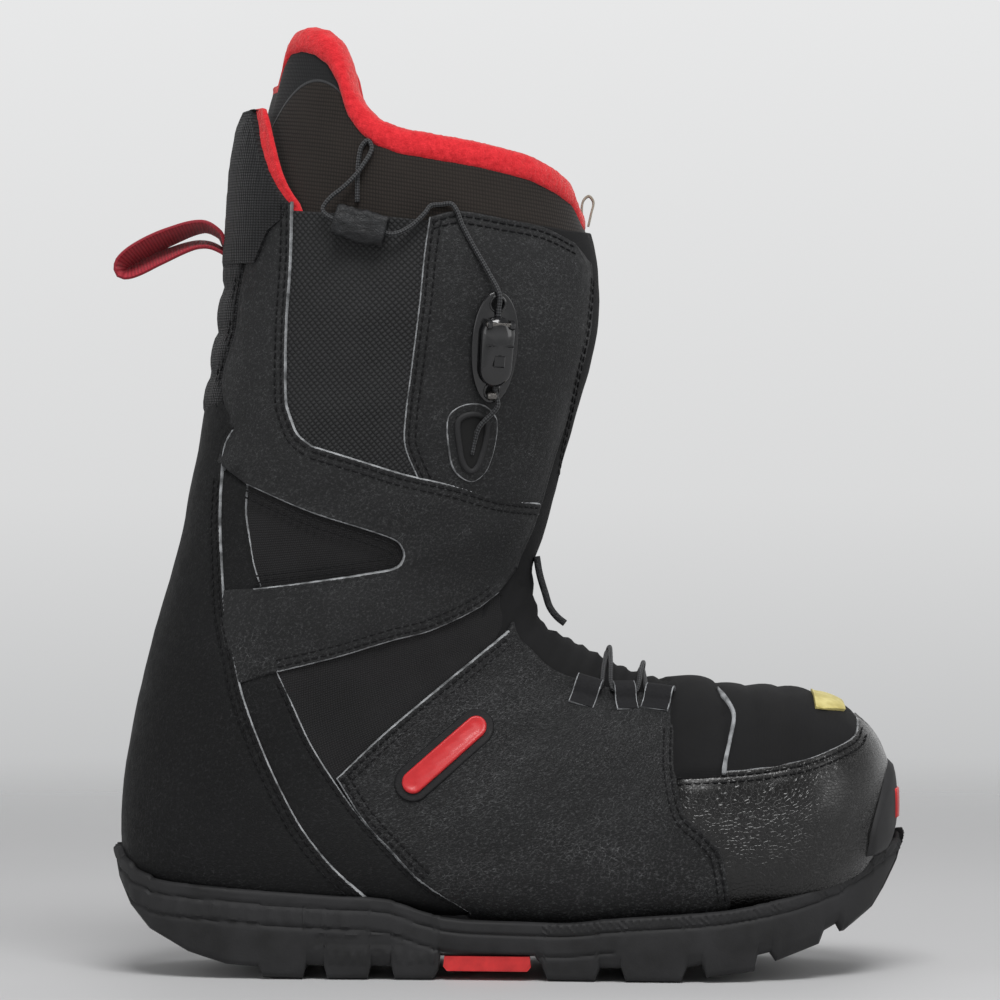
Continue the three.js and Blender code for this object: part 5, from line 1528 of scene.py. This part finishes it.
def upper_lace(name, side):
    """The cord from the slot through the lock and the keeper, down into the liner."""
    base = side_frame(*LOCK[:2], side, LOCK[2], LOCK[3])
    keeper = side_frame(*KEEPER[:2], side, KEEPER[2])
    def lay(points):
        return [SHELL.at(*[v if i else v * (1 if side < 0 else -1) for i, v in enumerate(SHELL.find(x, z))],
                         out * MM)[0]
                for x, z, out in points]
    points = (lay([(-15.3, 202, ON), (-14.2, 207, ON + 0.1), (-12.6, 213, ON + 1.3)])
              + list(to_world(base, [(-side * 2.2, -LOCK_LENGTH / 2 - 1, LANE + 0.3), (-side, -17, LANE),
                                     (0, -6, LANE),
                                     (0, 6, LANE), (0, 14, LANE),
                                     (side * 0.2, LOCK_LENGTH / 2 - 1, LANE + 0.2)]))
              + lay([(-9, 271, ON + 1.6), (-14, 280.5, ON + 0.3), (-18.5, 289, ON), (-20.8, 295, ON - 0.2),
                     (-22.8, 297.6, 0.2), (-26.5, 297.4, -1), (-30.5, 296.8, 0), (-33, 293.6, ON),
                     (-38.4, 288.6, ON + 0.6)])
              + list(to_world(keeper, [(0, 13, KEEPER_LANE), (0, 7, KEEPER_LANE), (0, 0, KEEPER_LANE),
                                       (0, -7, KEEPER_LANE),
                                       (0, -11.5, KEEPER_LANE)]))
              + lay([(-70.8, 295.2, KEEPER_LANE), (-68.5, 299.5, KEEPER_LANE - 0.6), (-64, 303.5, 1.6),
                     (-59.6, 308, 0.9),
                     (-56.1, 313, 0), (-53.2, 319, -1.2), (-54.8, 322.2, -1.6), (-57.6, 319, -1.7),
                     (-58.8, 309, -1.7),
                     (-58.9, 298.4, -1.6)]))
    tube("upper_lace_" + name, points, LACE / 2, MATERIALS["cord"], "cuff",
         ("lace_upper_" + name,))


# ------------------------------------------------------------------ lock, slot, keeper
def oval_loop(width, length, count=40, squeeze=0.0):
    """A stadium outline, narrower at one end when squeezed."""
    r = width / 2
    h = length / 2 - r
    points = []
    for i in range(count):
        a = 2 * pi * i / count
        y = r * sin(a) + (h if a < pi else -h)
        x = r * cos(a) * (1 - squeeze * (0.5 - y / length))
        points.append((x, y))
    return points


def almond(width, length, count):
    """An oval that narrows towards both ends."""
    points = []
    for i in range(count):
        a = 2 * pi * i / count
        c, d = cos(a), sin(a)
        y = length / 2 * (1 if d > 0 else -1) * abs(d) ** 0.92
        x = width / 2 * (1 if c > 0 else -1) * abs(c) ** 0.86 * (1 + 0.06 * d)
        points.append((x * (1 - 0.10 * abs(d) ** 3), y))
    return points


def plate_mesh(loops, low, high, bevel):
    """A flat plate with holes and rounded edges, in local millimetres."""
    mesh = bmesh.new()
    edges = []
    for loop in loops:
        made = [mesh.verts.new((x, y, low)) for x, y in loop]
        edges += [mesh.edges.new((made[i], made[(i + 1) % len(made)])) for i in range(len(made))]
    bmesh.ops.triangle_fill(mesh, edges=edges, use_beauty=True)
    for face in mesh.faces:
        if face.normal.z > 0:
            face.normal_flip()
    moved = bmesh.ops.extrude_face_region(mesh, geom=mesh.faces[:])
    top = [v for v in moved["geom"] if isinstance(v, bmesh.types.BMVert)]
    bmesh.ops.translate(mesh, verts=top, vec=(0, 0, high - low))
    bmesh.ops.recalc_face_normals(mesh, faces=mesh.faces)
    sharp = [e for e in mesh.edges if len(e.link_faces) == 2 and e.calc_face_angle() > 1.0]
    bmesh.ops.bevel(mesh, geom=sharp, offset=bevel, segments=3, profile=0.5, affect="EDGES")
    verts = [tuple(v.co) for v in mesh.verts]
    mesh.verts.index_update()
    faces = [[v.index for v in f.verts] for f in mesh.faces]
    mesh.free()
    return verts, faces


def rings_mesh(rings):
    """Closed rings of local points, capped at both ends."""
    n = len(rings[0])
    verts = [p for ring in rings for p in ring]
    faces = [(r * n + k, r * n + (k + 1) % n, (r + 1) * n + (k + 1) % n, (r + 1) * n + k)
             for r in range(len(rings) - 1) for k in range(n)]
    faces.append(tuple(range(n))[::-1])
    faces.append(tuple((len(rings) - 1) * n + k for k in range(n)))
    return verts, faces


def join(*parts):
    """Several (verts, faces) as one."""
    verts, faces = [], []
    for v, f in parts:
        base = len(verts)
        verts += list(v)
        faces += [tuple(k + base for k in face) for face in f]
    return verts, faces


def placed(name, place, parts, material, body, nodes=(), sharp=35):
    """A rigid piece from local parts, set into a side frame."""
    verts, faces = join(*parts)
    piece = mesh_object(name, to_world(place, verts), faces, sharp=sharp)
    bm_weld(piece, 1e-7)
    return finish_piece(piece, material, body, nodes)


def block(x0, x1, y0, y1, z0, z1, r=0.4):
    """A rounded block: four rings around z."""
    def ring(inset, z):
        return [(x, y, z) for x, y in ((x0 + inset, y0 + inset), (x1 - inset, y0 + inset),
                                       (x1 - inset, y1 - inset), (x0 + inset, y1 - inset))]
    return rings_mesh([ring(r, z0), ring(0, z0 + r), ring(0, z1 - r), ring(r, z1)])


def turned(radius, x0, x1, y, z, count=20, soft=0.25):
    """A short rod along local x with softened ends."""
    def ring(r, x):
        return [(x, y + r * cos(2 * pi * k / count), z + r * sin(2 * pi * k / count)) for k in range(count)]
    return rings_mesh([ring(radius - soft, x0), ring(radius, x0 + soft), ring(radius, x1 - soft),
                       ring(radius - soft, x1)])


def lock(name, side):
    """The almond plate with two ringed holes and two ears, its pin and bead, and the lever's cover."""
    m = MATERIALS
    base = side_frame(*LOCK[:2], side, LOCK[2], LOCK[3])
    holes, rims = [], []
    for end in (-1, 1):
        middle = end * (LOCK_LENGTH / 2 - HOLE_IN)
        holes.append([(2.4 * cos(2 * pi * k / 24), middle + 2.4 * sin(2 * pi * k / 24)) for k in range(24)])
        rim = []
        for k in range(24):
            a = 2 * pi * k / 24
            rim.append([((3.0 + 0.55 * cos(b)) * cos(a), middle + (3.0 + 0.55 * cos(b)) * sin(a),
                         2.15 + 0.5 * sin(b))
                        for b in np.linspace(0, 2 * pi, 8, endpoint=False)])
        verts = [p for r in rim for p in r]
        faces = [(i * 8 + j, i * 8 + (j + 1) % 8, ((i + 1) % 24) * 8 + (j + 1) % 8, ((i + 1) % 24) * 8 + j)
                 for i in range(24) for j in range(8)]
        rims.append((verts, faces))
    plate = plate_mesh([almond(LOCK_WIDTH, LOCK_LENGTH, 64)] + holes, 0.0, LOCK_PLATE, 0.6)
    hinge_out, hinge_along = 4.6 + 1.1 + 0.15 + 0.75, 9.0
    ears = []
    for end in (-1, 1):
        x0, x1 = sorted((end * 3.6, end * 5.4))
        ears.append(block(x0, x1, hinge_along - 2, hinge_along + 2, 1.2, hinge_out - 0.3))
        ears.append(turned(2.0, x0, x1, hinge_along, hinge_out))
    placed("lock_base_" + name, base, [plate] + rims + ears, m["plastic"], "cuff",
           ("lock_plate_" + name,))
    pin = turned(1.1, -5.7, 5.7, hinge_along, hinge_out)
    bead = turned(1.7, -2.4, 1.4, -18.6, 3.9, soft=0.7)
    placed("lock_rivet_" + name, base, [pin], m["metal"], "cuff", ("lock_pin_" + name,))
    placed("lock_bead_" + name, base, [bead], m["metal"], "cuff")
    rings = []
    length, width, top, under = 27.0, 14.2, 4.6 + 4.4, 4.75
    middle = hinge_along + 3.0 - length / 2
    for t in np.sin(np.linspace(0, pi / 2, 18)):
        grow = (1 - t ** 2.1) ** (1 / 2.1) if t < 1 else 0.0
        z = under + (top - under) * t
        ring = []
        for x, y in oval_loop(width - 0.8 * t, length, 56, squeeze=0.10):
            shrink = 0.12 + 0.88 * grow
            wave = -0.35 * np.exp(-((y - 4.0) / 0.5) ** 2) if t > 0.5 else 0.0
            slope = 1.1 * np.clip((-y - 6) / 8, 0, 1) * t
            ring.append((x * shrink, y * (0.16 + 0.84 * grow) + middle, z + wave - slope))
        rings.append(ring)
    bottom = [(x * 0.94, y * 0.97 + middle, under - 0.35) for x,
              y in oval_loop(width, length, 56, squeeze=0.10)]
    dome = rings_mesh([bottom] + rings)
    button = block(-2.1, 2.1, middle - 5.6, middle - 1.2, top - 0.9, top + 0.28, 0.35)
    ridge = block(-5.4, 5.4, middle + 2.2, middle + 3.0, top - 1.6, top - 0.02, 0.3)
    placed("lock_cover_" + name, base, [dome, button, ridge], m["plastic"], "lever_" + name,
           ("lock_lever_" + name,))


SLOT = [(-20.4, 214.5), (-17, 217), (-12, 217), (-9.4, 213.6), (-12.4, 199), (-15.4, 195.4), (-18.2, 197.5),
        (-20, 205)]


def loop_tube(name, outline, side, rise, radius, material, body, nodes=()):
    """A closed flattened rod along an outline on the form."""
    path = smooth_path(outline, 1.0, closed=True)
    at, normals = [], []
    for x, z in path:
        u, s = SHELL.find(x, z)
        u = -u * side
        at.append(SHELL.at(u, s, rise * MM)[0])
        normals.append(SHELL.normal(u, s)[0])
    at, normals = np.array(at), np.array(normals)
    tangent = np.roll(at, -1, 0) - np.roll(at, 1, 0)
    tangent /= np.linalg.norm(tangent, axis=1, keepdims=True)
    rows = []
    for p, t, n in zip(at, tangent, normals):
        out = np.cross(t, n)
        a = np.linspace(0, 2 * pi, 10, endpoint=False)
        rows.append(p + (np.outer(np.cos(a) * 1.25, out) + np.outer(np.sin(a), n)) * radius * MM)
    piece = grid_mesh(name, rows + [rows[0]])
    bm_weld(piece, 1e-7)
    return finish_piece(piece, material, body, nodes)


def patch(name, outline, side, rise, thick, material, slot, body, nodes=(), smooth=True, **look):
    """A small panel with all its edges finished."""
    path = smooth_path(outline, 1.0, closed=True) if smooth else straight(outline + outline[:1], 1.2)[:-1]
    line = [SHELL.find(x, z) for x, z in path]
    outline = [(-u * side, s) for u, s in line], [True] * len(line), [True] * len(line)
    settings = dict(rings=(0.35, 0.9, 1.8), grid=2.6, wrinkle=0.0, puff=0.1, crown=3)
    settings.update(look)
    return panel(name, outline, rise, thick, material, slot, body, nodes, **settings)


def grow(points, d):
    """An outline moved outwards by d."""
    p = np.array(points, float)
    area_ = 0.5 * np.sum(p[:, 0] * np.roll(p[:, 1], -1) - np.roll(p[:, 0], -1) * p[:, 1])
    out = []
    for i in range(len(p)):
        a = p[i] - p[i - 1]
        b = p[(i + 1) % len(p)] - p[i]
        n = np.array([a[1], -a[0]]) / max(np.linalg.norm(a),
                                          1e-9) + np.array([b[1], -b[0]]) / max(np.linalg.norm(b), 1e-9)
        n /= max(np.linalg.norm(n), 1e-9)
        out.append(tuple(p[i] + n * d * np.sign(area_)))
    return out


def slots():
    """The cord slots with their leather and rim, a near-black sheet of painted shade inside each, and the
    piping across the vamp.
    """
    m = MATERIALS
    for name, side in SIDES.items():
        seam = [(80.5, 110), (84.5, 104), (85.6, 100), (84, 93), (82, 85), (81, 79)]
        patch("vamp_piping_" + name, seam + beside(seam, 1.5)[::-1], side, 0.55, 0.9, m["nylon"],
              "quilted_nylon", "foot",
              grid=2.0, rings=(0.35,), extra=vamp_relief, stitches=())
        loop_tube("slot_rim_" + name, SLOT, side, 1.5, 0.95, m["rubber"], "cuff",
                  ("lace_slot_" + name,))
        patch("slot_surround_" + name, grow(SLOT, 4.2), side, 1.35, 1.1, m["flap"], "flap_leather", "cuff",
              stitches=(2.0,))
        # Painted shade: a near-black sheet fills the slot opening where the hole lies in shade.
        patch("slot_painted_shade_" + name, grow(SLOT, -0.6), side, 1.5, 0.4, m["well"], "slot_trim", "cuff")


def keeper(name, side):
    """The rolled leather sleeve that holds the cord."""
    place = side_frame(*KEEPER[:2], side, KEEPER[2])
    rings = []
    count = 40
    for y in np.linspace(-10.2, 10.2, 30):
        t = y / 10.2
        ring = []
        for k in range(count):
            a = 2 * pi * k / count
            c, s_ = cos(a), sin(a)
            swell = 1 - 0.10 * abs(t) ** 3
            x = 6.3 * swell * abs(c) ** 0.8 * (1 if c > 0 else -1)
            z = 3.4 + 3.1 * swell * abs(s_) ** 0.9 * (1 if s_ > 0 else -1)
            fold = 0.45 * noise.noise(Vector((x * 0.35, y * 0.30,
                                              z * 0.4 + side))) + 0.22 * noise.noise(Vector((x, y * 0.7, z)))
            ring.append((x + c * fold * 1.5, y + 0.5 * noise.noise(Vector((c * 2, s_ * 2, 3.0))) * t,
                         z + s_ * fold * 1.5))
        rings.append(ring)
    def inner(ring, scale, y):
        return [(x * scale, y, 3.4 + (z - 3.4) * scale) for x, _, z in ring]
    full = [inner(rings[0], 0.45, -5.0), inner(rings[0], 0.55, -9.6)] + rings + [inner(rings[-1], 0.55, 9.6),
                                                                                 inner(rings[-1], 0.45, 5.0)]
    piece = placed("lace_keeper_sleeve_" + name, place, [rings_mesh(full)], MATERIALS["sleeve"],
                   "cuff",
                   ("lace_keeper_" + name,), sharp=None)


# ------------------------------------------------------------------ instep lacing
def on_top(x, y, raise_):
    """The instep point over design place x and true place y (mm), raised off the form."""
    cols = slice(SHELL.HALF // 2, 3 * SHELL.HALF // 2 + 1)
    table = SHELL.p[:, cols]
    away = (table[:, :, 2] < 0.09) | (table[:, :, 2] > 0.155 * KZ / MM)
    gap = (table[:, :, 0] - x * KX) ** 2 + (table[:, :, 1] - y * MM) ** 2 + away * 1.0
    i, j = np.unravel_index(gap.argmin(), gap.shape)
    place = np.array([(j + SHELL.HALF // 2) / SHELL.HALF - 1, SHELL.s[i]])
    want = np.array([x * KX, y * MM])
    for _ in range(5):
        here = SHELL.at(place[0], place[1])[0, :2]
        du = (SHELL.at(place[0] + 1e-3, place[1])[0, :2] - here) / 1e-3
        ds = (SHELL.at(place[0], place[1] + 1e-3)[0, :2] - here) / 1e-3
        place = place + np.linalg.lstsq(np.stack([du, ds], 1), want - here, rcond=None)[0]
    return SHELL.at(place[0], place[1], raise_ * MM)[0], SHELL.normal(place[0], place[1])[0]


GUIDE_X = (58, 44, 30)
GUIDE_OFF = 24.0
GUIDE_LEAN = (14, -9, 17)
GUIDE_HALF = (5.4, 4.2, 5.0)
GUIDE_PROFILE = [(9.5, 0.55), (7.0, 0.7), (4.5, 1.2), (2.6, 2.9), (0.2, 4.3), (-2.4, 4.1), (-3.9, 2.6),
                 (-3.6, 1.1),
                 (-1.6, 0.4)]  # off the eyestay and up, from the sewn end over the cord and back under
EYESTAY = 20


def guides():
    """Webbing tabs folded over the lower cord along the eyestay."""
    for name, side in SIDES.items():
        for i, x in enumerate(GUIDE_X):
            rows = []
            at, normal = on_top(x, side * GUIDE_OFF, 0.3)
            forward = np.array([1.0, 0, 0]) - normal * normal[0]
            forward /= np.linalg.norm(forward)
            lean = radians(GUIDE_LEAN[i] * side)
            forward = forward * cos(lean) + np.cross(normal, forward) * sin(lean)
            out = np.cross(forward, normal)
            out = out if out[1] * side > 0 else -out
            curve = smooth_path(GUIDE_PROFILE, 0.6)
            half = GUIDE_HALF[i]
            outline = []
            for q, (a, b) in enumerate(curve):
                ahead = curve[min(q + 1, len(curve) - 1)]
                behind = curve[max(q - 1, 0)]
                t = np.array([ahead[0] - behind[0], ahead[1] - behind[1]])
                t /= np.linalg.norm(t)
                outline.append((a, b, -t[1], t[0]))
            for a, b, na, nb in outline:
                wave = 0.25 * noise.noise(Vector((a * 0.4, i, side)))
                ring = []
                for w, h in ((-half, -0.45), (-half - 0.1, 0), (-half, 0.45), (-half * 0.3, 0.5),
                             (half * 0.3, 0.5), (half, 0.45),
                             (half + 0.1, 0), (half, -0.45), (half * 0.3, -0.5), (-half * 0.3, -0.5)):
                    ring.append(at + (out * (a + na * h) + normal * (b + nb * h + wave) + forward * w) * MM)
                rows.append(np.array(ring))
            piece = grid_mesh("instep_tab_%s_%d" % (name, i + 1), rows, caps=True, sharp=60)
            rim = np.tile([0.1, 0.0, 0.1, 3, 3, 0.1, 0.0, 0.1, 3, 3], len(rows))
            attribute(piece, "edge", rim)
            co = np.array([v.co for v in piece.data.vertices])
            attribute(piece, "st", co, "FLOAT_VECTOR")
            finish_piece(piece, MATERIALS["tab"], "foot",
                         ("lace_guide_%s_%d" % (name, i + 1),))


def lower_laces():
    """Two cords that cross between the guides."""
    lane, ends = 0.3 + 4 / 2, 7 / 2 + 1
    for name, start, over in (("a", -1, 0.0), ("b", 1, LACE + 0.6)):
        points = []
        for i, x in enumerate(GUIDE_X):
            side = -start if i % 2 else start
            y = side * (EYESTAY + 4)
            middle = lane + 0.3
            points += [(x + (ends if i else 2.5), y, middle), (x, y, middle),
                       (x - (ends if i < 2 else 2.5), y, middle)]
            if i == 2:
                continue
            nxt = GUIDE_X[i + 1]
            points += [(x + (nxt - x) * 0.42, y * 0.6, lane + over),
                       (x + (nxt - x) * 0.5, 0, ON + over + 1.2),
                       (x + (nxt - x) * 0.58, -y * 0.6, lane + over)]
        tube("lower_lace_" + name, [on_top(*p)[0] for p in points], LACE / 2, MATERIALS["cord"],
             "foot",
             ("lace_lower_" + name,))


# ------------------------------------------------------------------ loops, tab, badge, label
# a strap's section: share of the half width, share of the half thickness
STRAP_RING = ((-1, -0.7), (-1.02, 0), (-1, 0.7), (-0.9, 1.0), (-0.3, 0.92), (0.3, 0.92), (0.9, 1.0),
              (1, 0.7),
              (1.02, 0), (1, -0.7), (0.9, -1.0), (0.3, -0.92), (-0.3, -0.92), (-0.9, -1.0))


def strap(name, path, width, thick, material, body, nodes=(), off=0.0, roll=None, samples=1.2,
          curl=0.0):
    """A webbing strip that follows a side-view path; roll gives its turn in degrees along its length."""
    line = np.array(smooth_path(path, samples))
    rows, st = [], []
    run = np.concatenate([[0], np.cumsum(np.linalg.norm(np.diff(line, axis=0), axis=1))])
    for i, (x, z) in enumerate(line):
        ahead, behind = line[min(i + 1, len(line) - 1)], line[max(i - 1, 0)]
        t = np.array([(ahead - behind)[0], 0, (ahead - behind)[1]])
        t /= np.linalg.norm(t)
        normal = np.array([-t[2], 0, t[0]])
        across = np.array([0, 1.0, 0])
        lean = radians(roll(run[i] / run[-1]) if roll else 0.0)
        a2 = across * cos(lean) + normal * sin(lean)
        n2 = -across * sin(lean) + normal * cos(lean)
        centre = np.array([x * KX, off * MM, z * KZ])
        for w, h in STRAP_RING:
            bow = curl * w * w
            rows.append(centre + (a2 * w * width / 2 + n2 * (h * thick / 2 + bow)) * MM)
            st.append([w * width / 2 * MM, run[i] * MM, 0])
    n = len(STRAP_RING)
    rings = [np.array(rows[k * n:(k + 1) * n]) for k in range(len(line))]
    piece = grid_mesh(name, rings, caps=True, sharp=55)
    attribute(piece, "st", st, "FLOAT_VECTOR")
    attribute(piece, "edge", np.full(len(st), 9.0))
    return finish_piece(piece, material, body, nodes)


def pill(x, z, length, width, heading, count=48):
    """A stadium outline at a place, turned to a heading."""
    turn = radians(heading - 90)
    return [(x + a * cos(turn) - b * sin(turn), z + a * sin(turn) + b * cos(turn)) for a,
            b in oval_loop(width, length, count)]


def small_pieces():
    """Pull loops, hanging tab, badge and plain label."""
    m = MATERIALS
    strap("heel_pull_webbing", [(-108, 281), (-112, 284.5), (-114, 289), (-121, 292.4), (-134, 288.6),
                                (-146, 282.5), (-152.0, 277.4),
          (-152.2, 274.2), (-148, 274.6), (-138, 279), (-125, 284), (-118.5, 284.2), (-113, 281.5),
                                (-108, 277)], 16, 1.5, m["webbing"],
          "heel_loop", ("heel_pull_loop",), roll=lambda t: 24 * sin(pi * t), curl=0.5)
    strap("liner_pull_webbing", [(28.9, 292), (28.2, 298), (28.8, 302), (31, 303.9), (32.8, 301.5),
                                 (31.9, 297), (30.8, 292)], 6, 0.9,
          m["beige"], "liner_loop", ("liner_pull_loop",), samples=0.7)
    strap("ankle_tab_grip", [(10.2, 162), (11.4, 155), (13.6, 147.5), (15.4, 142), (18.4, 138),
                             (21.4, 135.6)], 8, 2.6, m["sleeve"],
          "ankle_tab", ("ankle_pull_tab",), off=-4, curl=0.3)
    patch("badge_surround", pill(-25.5, 85.5, 46, 14.5, 41), -1, 2.0, 1.4, m["suede_dark"],
          "quarter_leather", "foot", stitches=(1.6,), grid=3)
    patch("badge_pill", pill(-25.5, 85.5, 40, 8.6, 41), -1, 3.0, 1.6, m["badge"], "badge_red", "foot",
          ("side_badge",), grid=2.2,
          extra=lambda uv, base, d: -0.45 * (d > 1.3))
    patch("plain_label", [(118.5, 109.8), (118.5, 103), (130.5, 101.5), (130.3, 108.6)], -1, 0.5, 0.4,
          m["label"], "label_yellow", "foot",
          ("size_label",), smooth=False, extra=lambda uv, base, d: vamp_relief(uv, base, d) * 0.9)


def toe_rubber():
    """The sole's rubber rises in a smooth crescent over the front of the cap, with a red patch let in."""
    first = int(np.interp(LAST - 1.5, SHELL.s, np.arange(len(SHELL.s))))
    table = SHELL.p[first:]
    across = table.shape[1]
    quads = [(i * across + k, i * across + k + 1, (i + 1) * across + k + 1, (i + 1) * across + k)
             for i in range(len(table) - 1) for k in range(across - 1)]
    tree = BVHTree.FromPolygons([tuple(v) for v in table.reshape(-1, 3)], quads)
    heart = np.array([70 * KX, 5 * KY])

    def form(turn, z):
        way = Vector((cos(turn), sin(turn), 0))
        hit = tree.ray_cast(Vector((*heart, z)) + way * 0.2, -way)[0]
        return np.array(hit) if hit else None

    def crescent(name, turns, low, high, rise, material, nodes, rows=14):
        outer, inner = [], []
        for turn in turns:
            share = abs(turn - turns.mean()) / (turns[-1] - turns[0]) * 2
            top = high(share)
            for k in range(rows):
                t = k / (rows - 1)
                z = (low + (top - low) * t) * KZ
                at = form(turn, z)
                away = Vector((cos(turn), sin(turn), 0))
                lip = min(t / 0.12, (1 - t) / 0.12, (1 - share) / 0.06, 1)
                lift = rise * (1 - (1 - max(lip, 0)) ** 2) ** 0.5
                outer.append(at + np.array(away) * (0.6 + lift) * MM)
                inner.append(at - np.array(away) * 0.5 * MM)
        n, m = len(turns), rows
        faces = [(i * m + k, (i + 1) * m + k, (i + 1) * m + k + 1, i * m + k + 1)
                 for i in range(n - 1) for k in range(m - 1)]
        size = n * m
        faces += [tuple(v + size for v in f[::-1]) for f in faces]
        rim = ([(i, 0) for i in range(n)] + [(n - 1, k) for k in range(1, m)]
               + [(i, m - 1) for i in range(n - 2, -1, -1)] + [(0, k) for k in range(m - 2, 0, -1)])
        loop = [i * m + k for i, k in rim]
        faces += [(b, a, a + size, b + size) for a, b in zip(loop, loop[1:] + loop[:1])]
        piece = mesh_object(name, outer + inner, faces, sharp=60)
        bm_weld(piece, 1e-7)
        finish_piece(piece, MATERIALS[material], "foot", nodes)

    crescent("toe_rubber", np.radians(np.linspace(-30, 34, 60)), 46,
             lambda share: 48 + 35 * max(0, 1 - share ** 2.2) ** 0.6, 2.2, "rubber",
             ("toe_bumper",))
    crescent("toe_patch_cover", np.radians(np.linspace(-13, 9, 26)), 58.6, lambda share: 72.4, 3.0,
             "red_plastic",
             ("toe_patch",), rows=10)


def stitching():
    """Rows beside the seams: the path, its height, the side it lies on and the rows' offsets."""
    pair = (2.0, 4.6)
    regions = {
        ("foot_stitches", "quarter_leather", "blend"): (
            (QUARTER_REAR[1:], 0.78, 1, pair), (QUARTER_TOP, 0.78, 1, pair),
                                                        (QUARTER_FRONT[1:], 0.78, 1, pair),
            (COUNTER_EDGE[:12], 0.75, -1, pair), (BRAID_EDGE, -0.4, -1, (2.0,))),
        ("cuff_stitches", "harness_leather", "cuff"): (
            (STRAP_LOWER[1:-1], 0.52, -1, pair), (WINDOW_TOP[1:] + WINDOW_LOW[:-1], 0.52, 1, pair),
            (F_EDGE[:-1], 0.52, 1, pair), (MESH_REAR, 0.52, 1, pair), (STRIP_EDGE, 0.52, -1, pair),
            (FLAP_REAR, 0.15, -1, pair), (CUFF_TOP[:-2], 0.15, 1, pair), (FLAP_FRONT, 0.2, -1, pair)),
        ("cap_stitches", "toe_leather", "foot"): ((CAP_TOP[:-2], 0.12, 1, (2.2, 4.8)),),
    }
    for region, rows in regions.items():
        stitches = Stitches(*region)
        for points, rise, side_of, offsets in rows:
            for offset in offsets:
                stitches.along(points, rise, offset, side_of)
        stitches.make()


def carry_over():
    """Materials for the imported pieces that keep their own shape."""
    m = MATERIALS
    looks = {"rubber": ("midsole",), "red_plastic": ("shank_plate", "heel_cushion"),
             "foam": ("footbed", "lasting_board")}
    for key, names in looks.items():
        for node in names:
            if not NODES[node].material_slots:
                NODES[node].data.materials.append(m[key])
            for slot_ in NODES[node].material_slots:
                slot_.material = m[key]


camera()
studio()
make_materials()
shell_panels()
back_panels()
tongue()
liner()
rear_collar()
sole()
for NAME, SIGN in SIDES.items():
    upper_lace(NAME, SIGN)
    lock(NAME, SIGN)
    keeper(NAME, SIGN)
slots()
guides()
lower_laces()
small_pieces()
toe_rubber()
stitching()
carry_over()
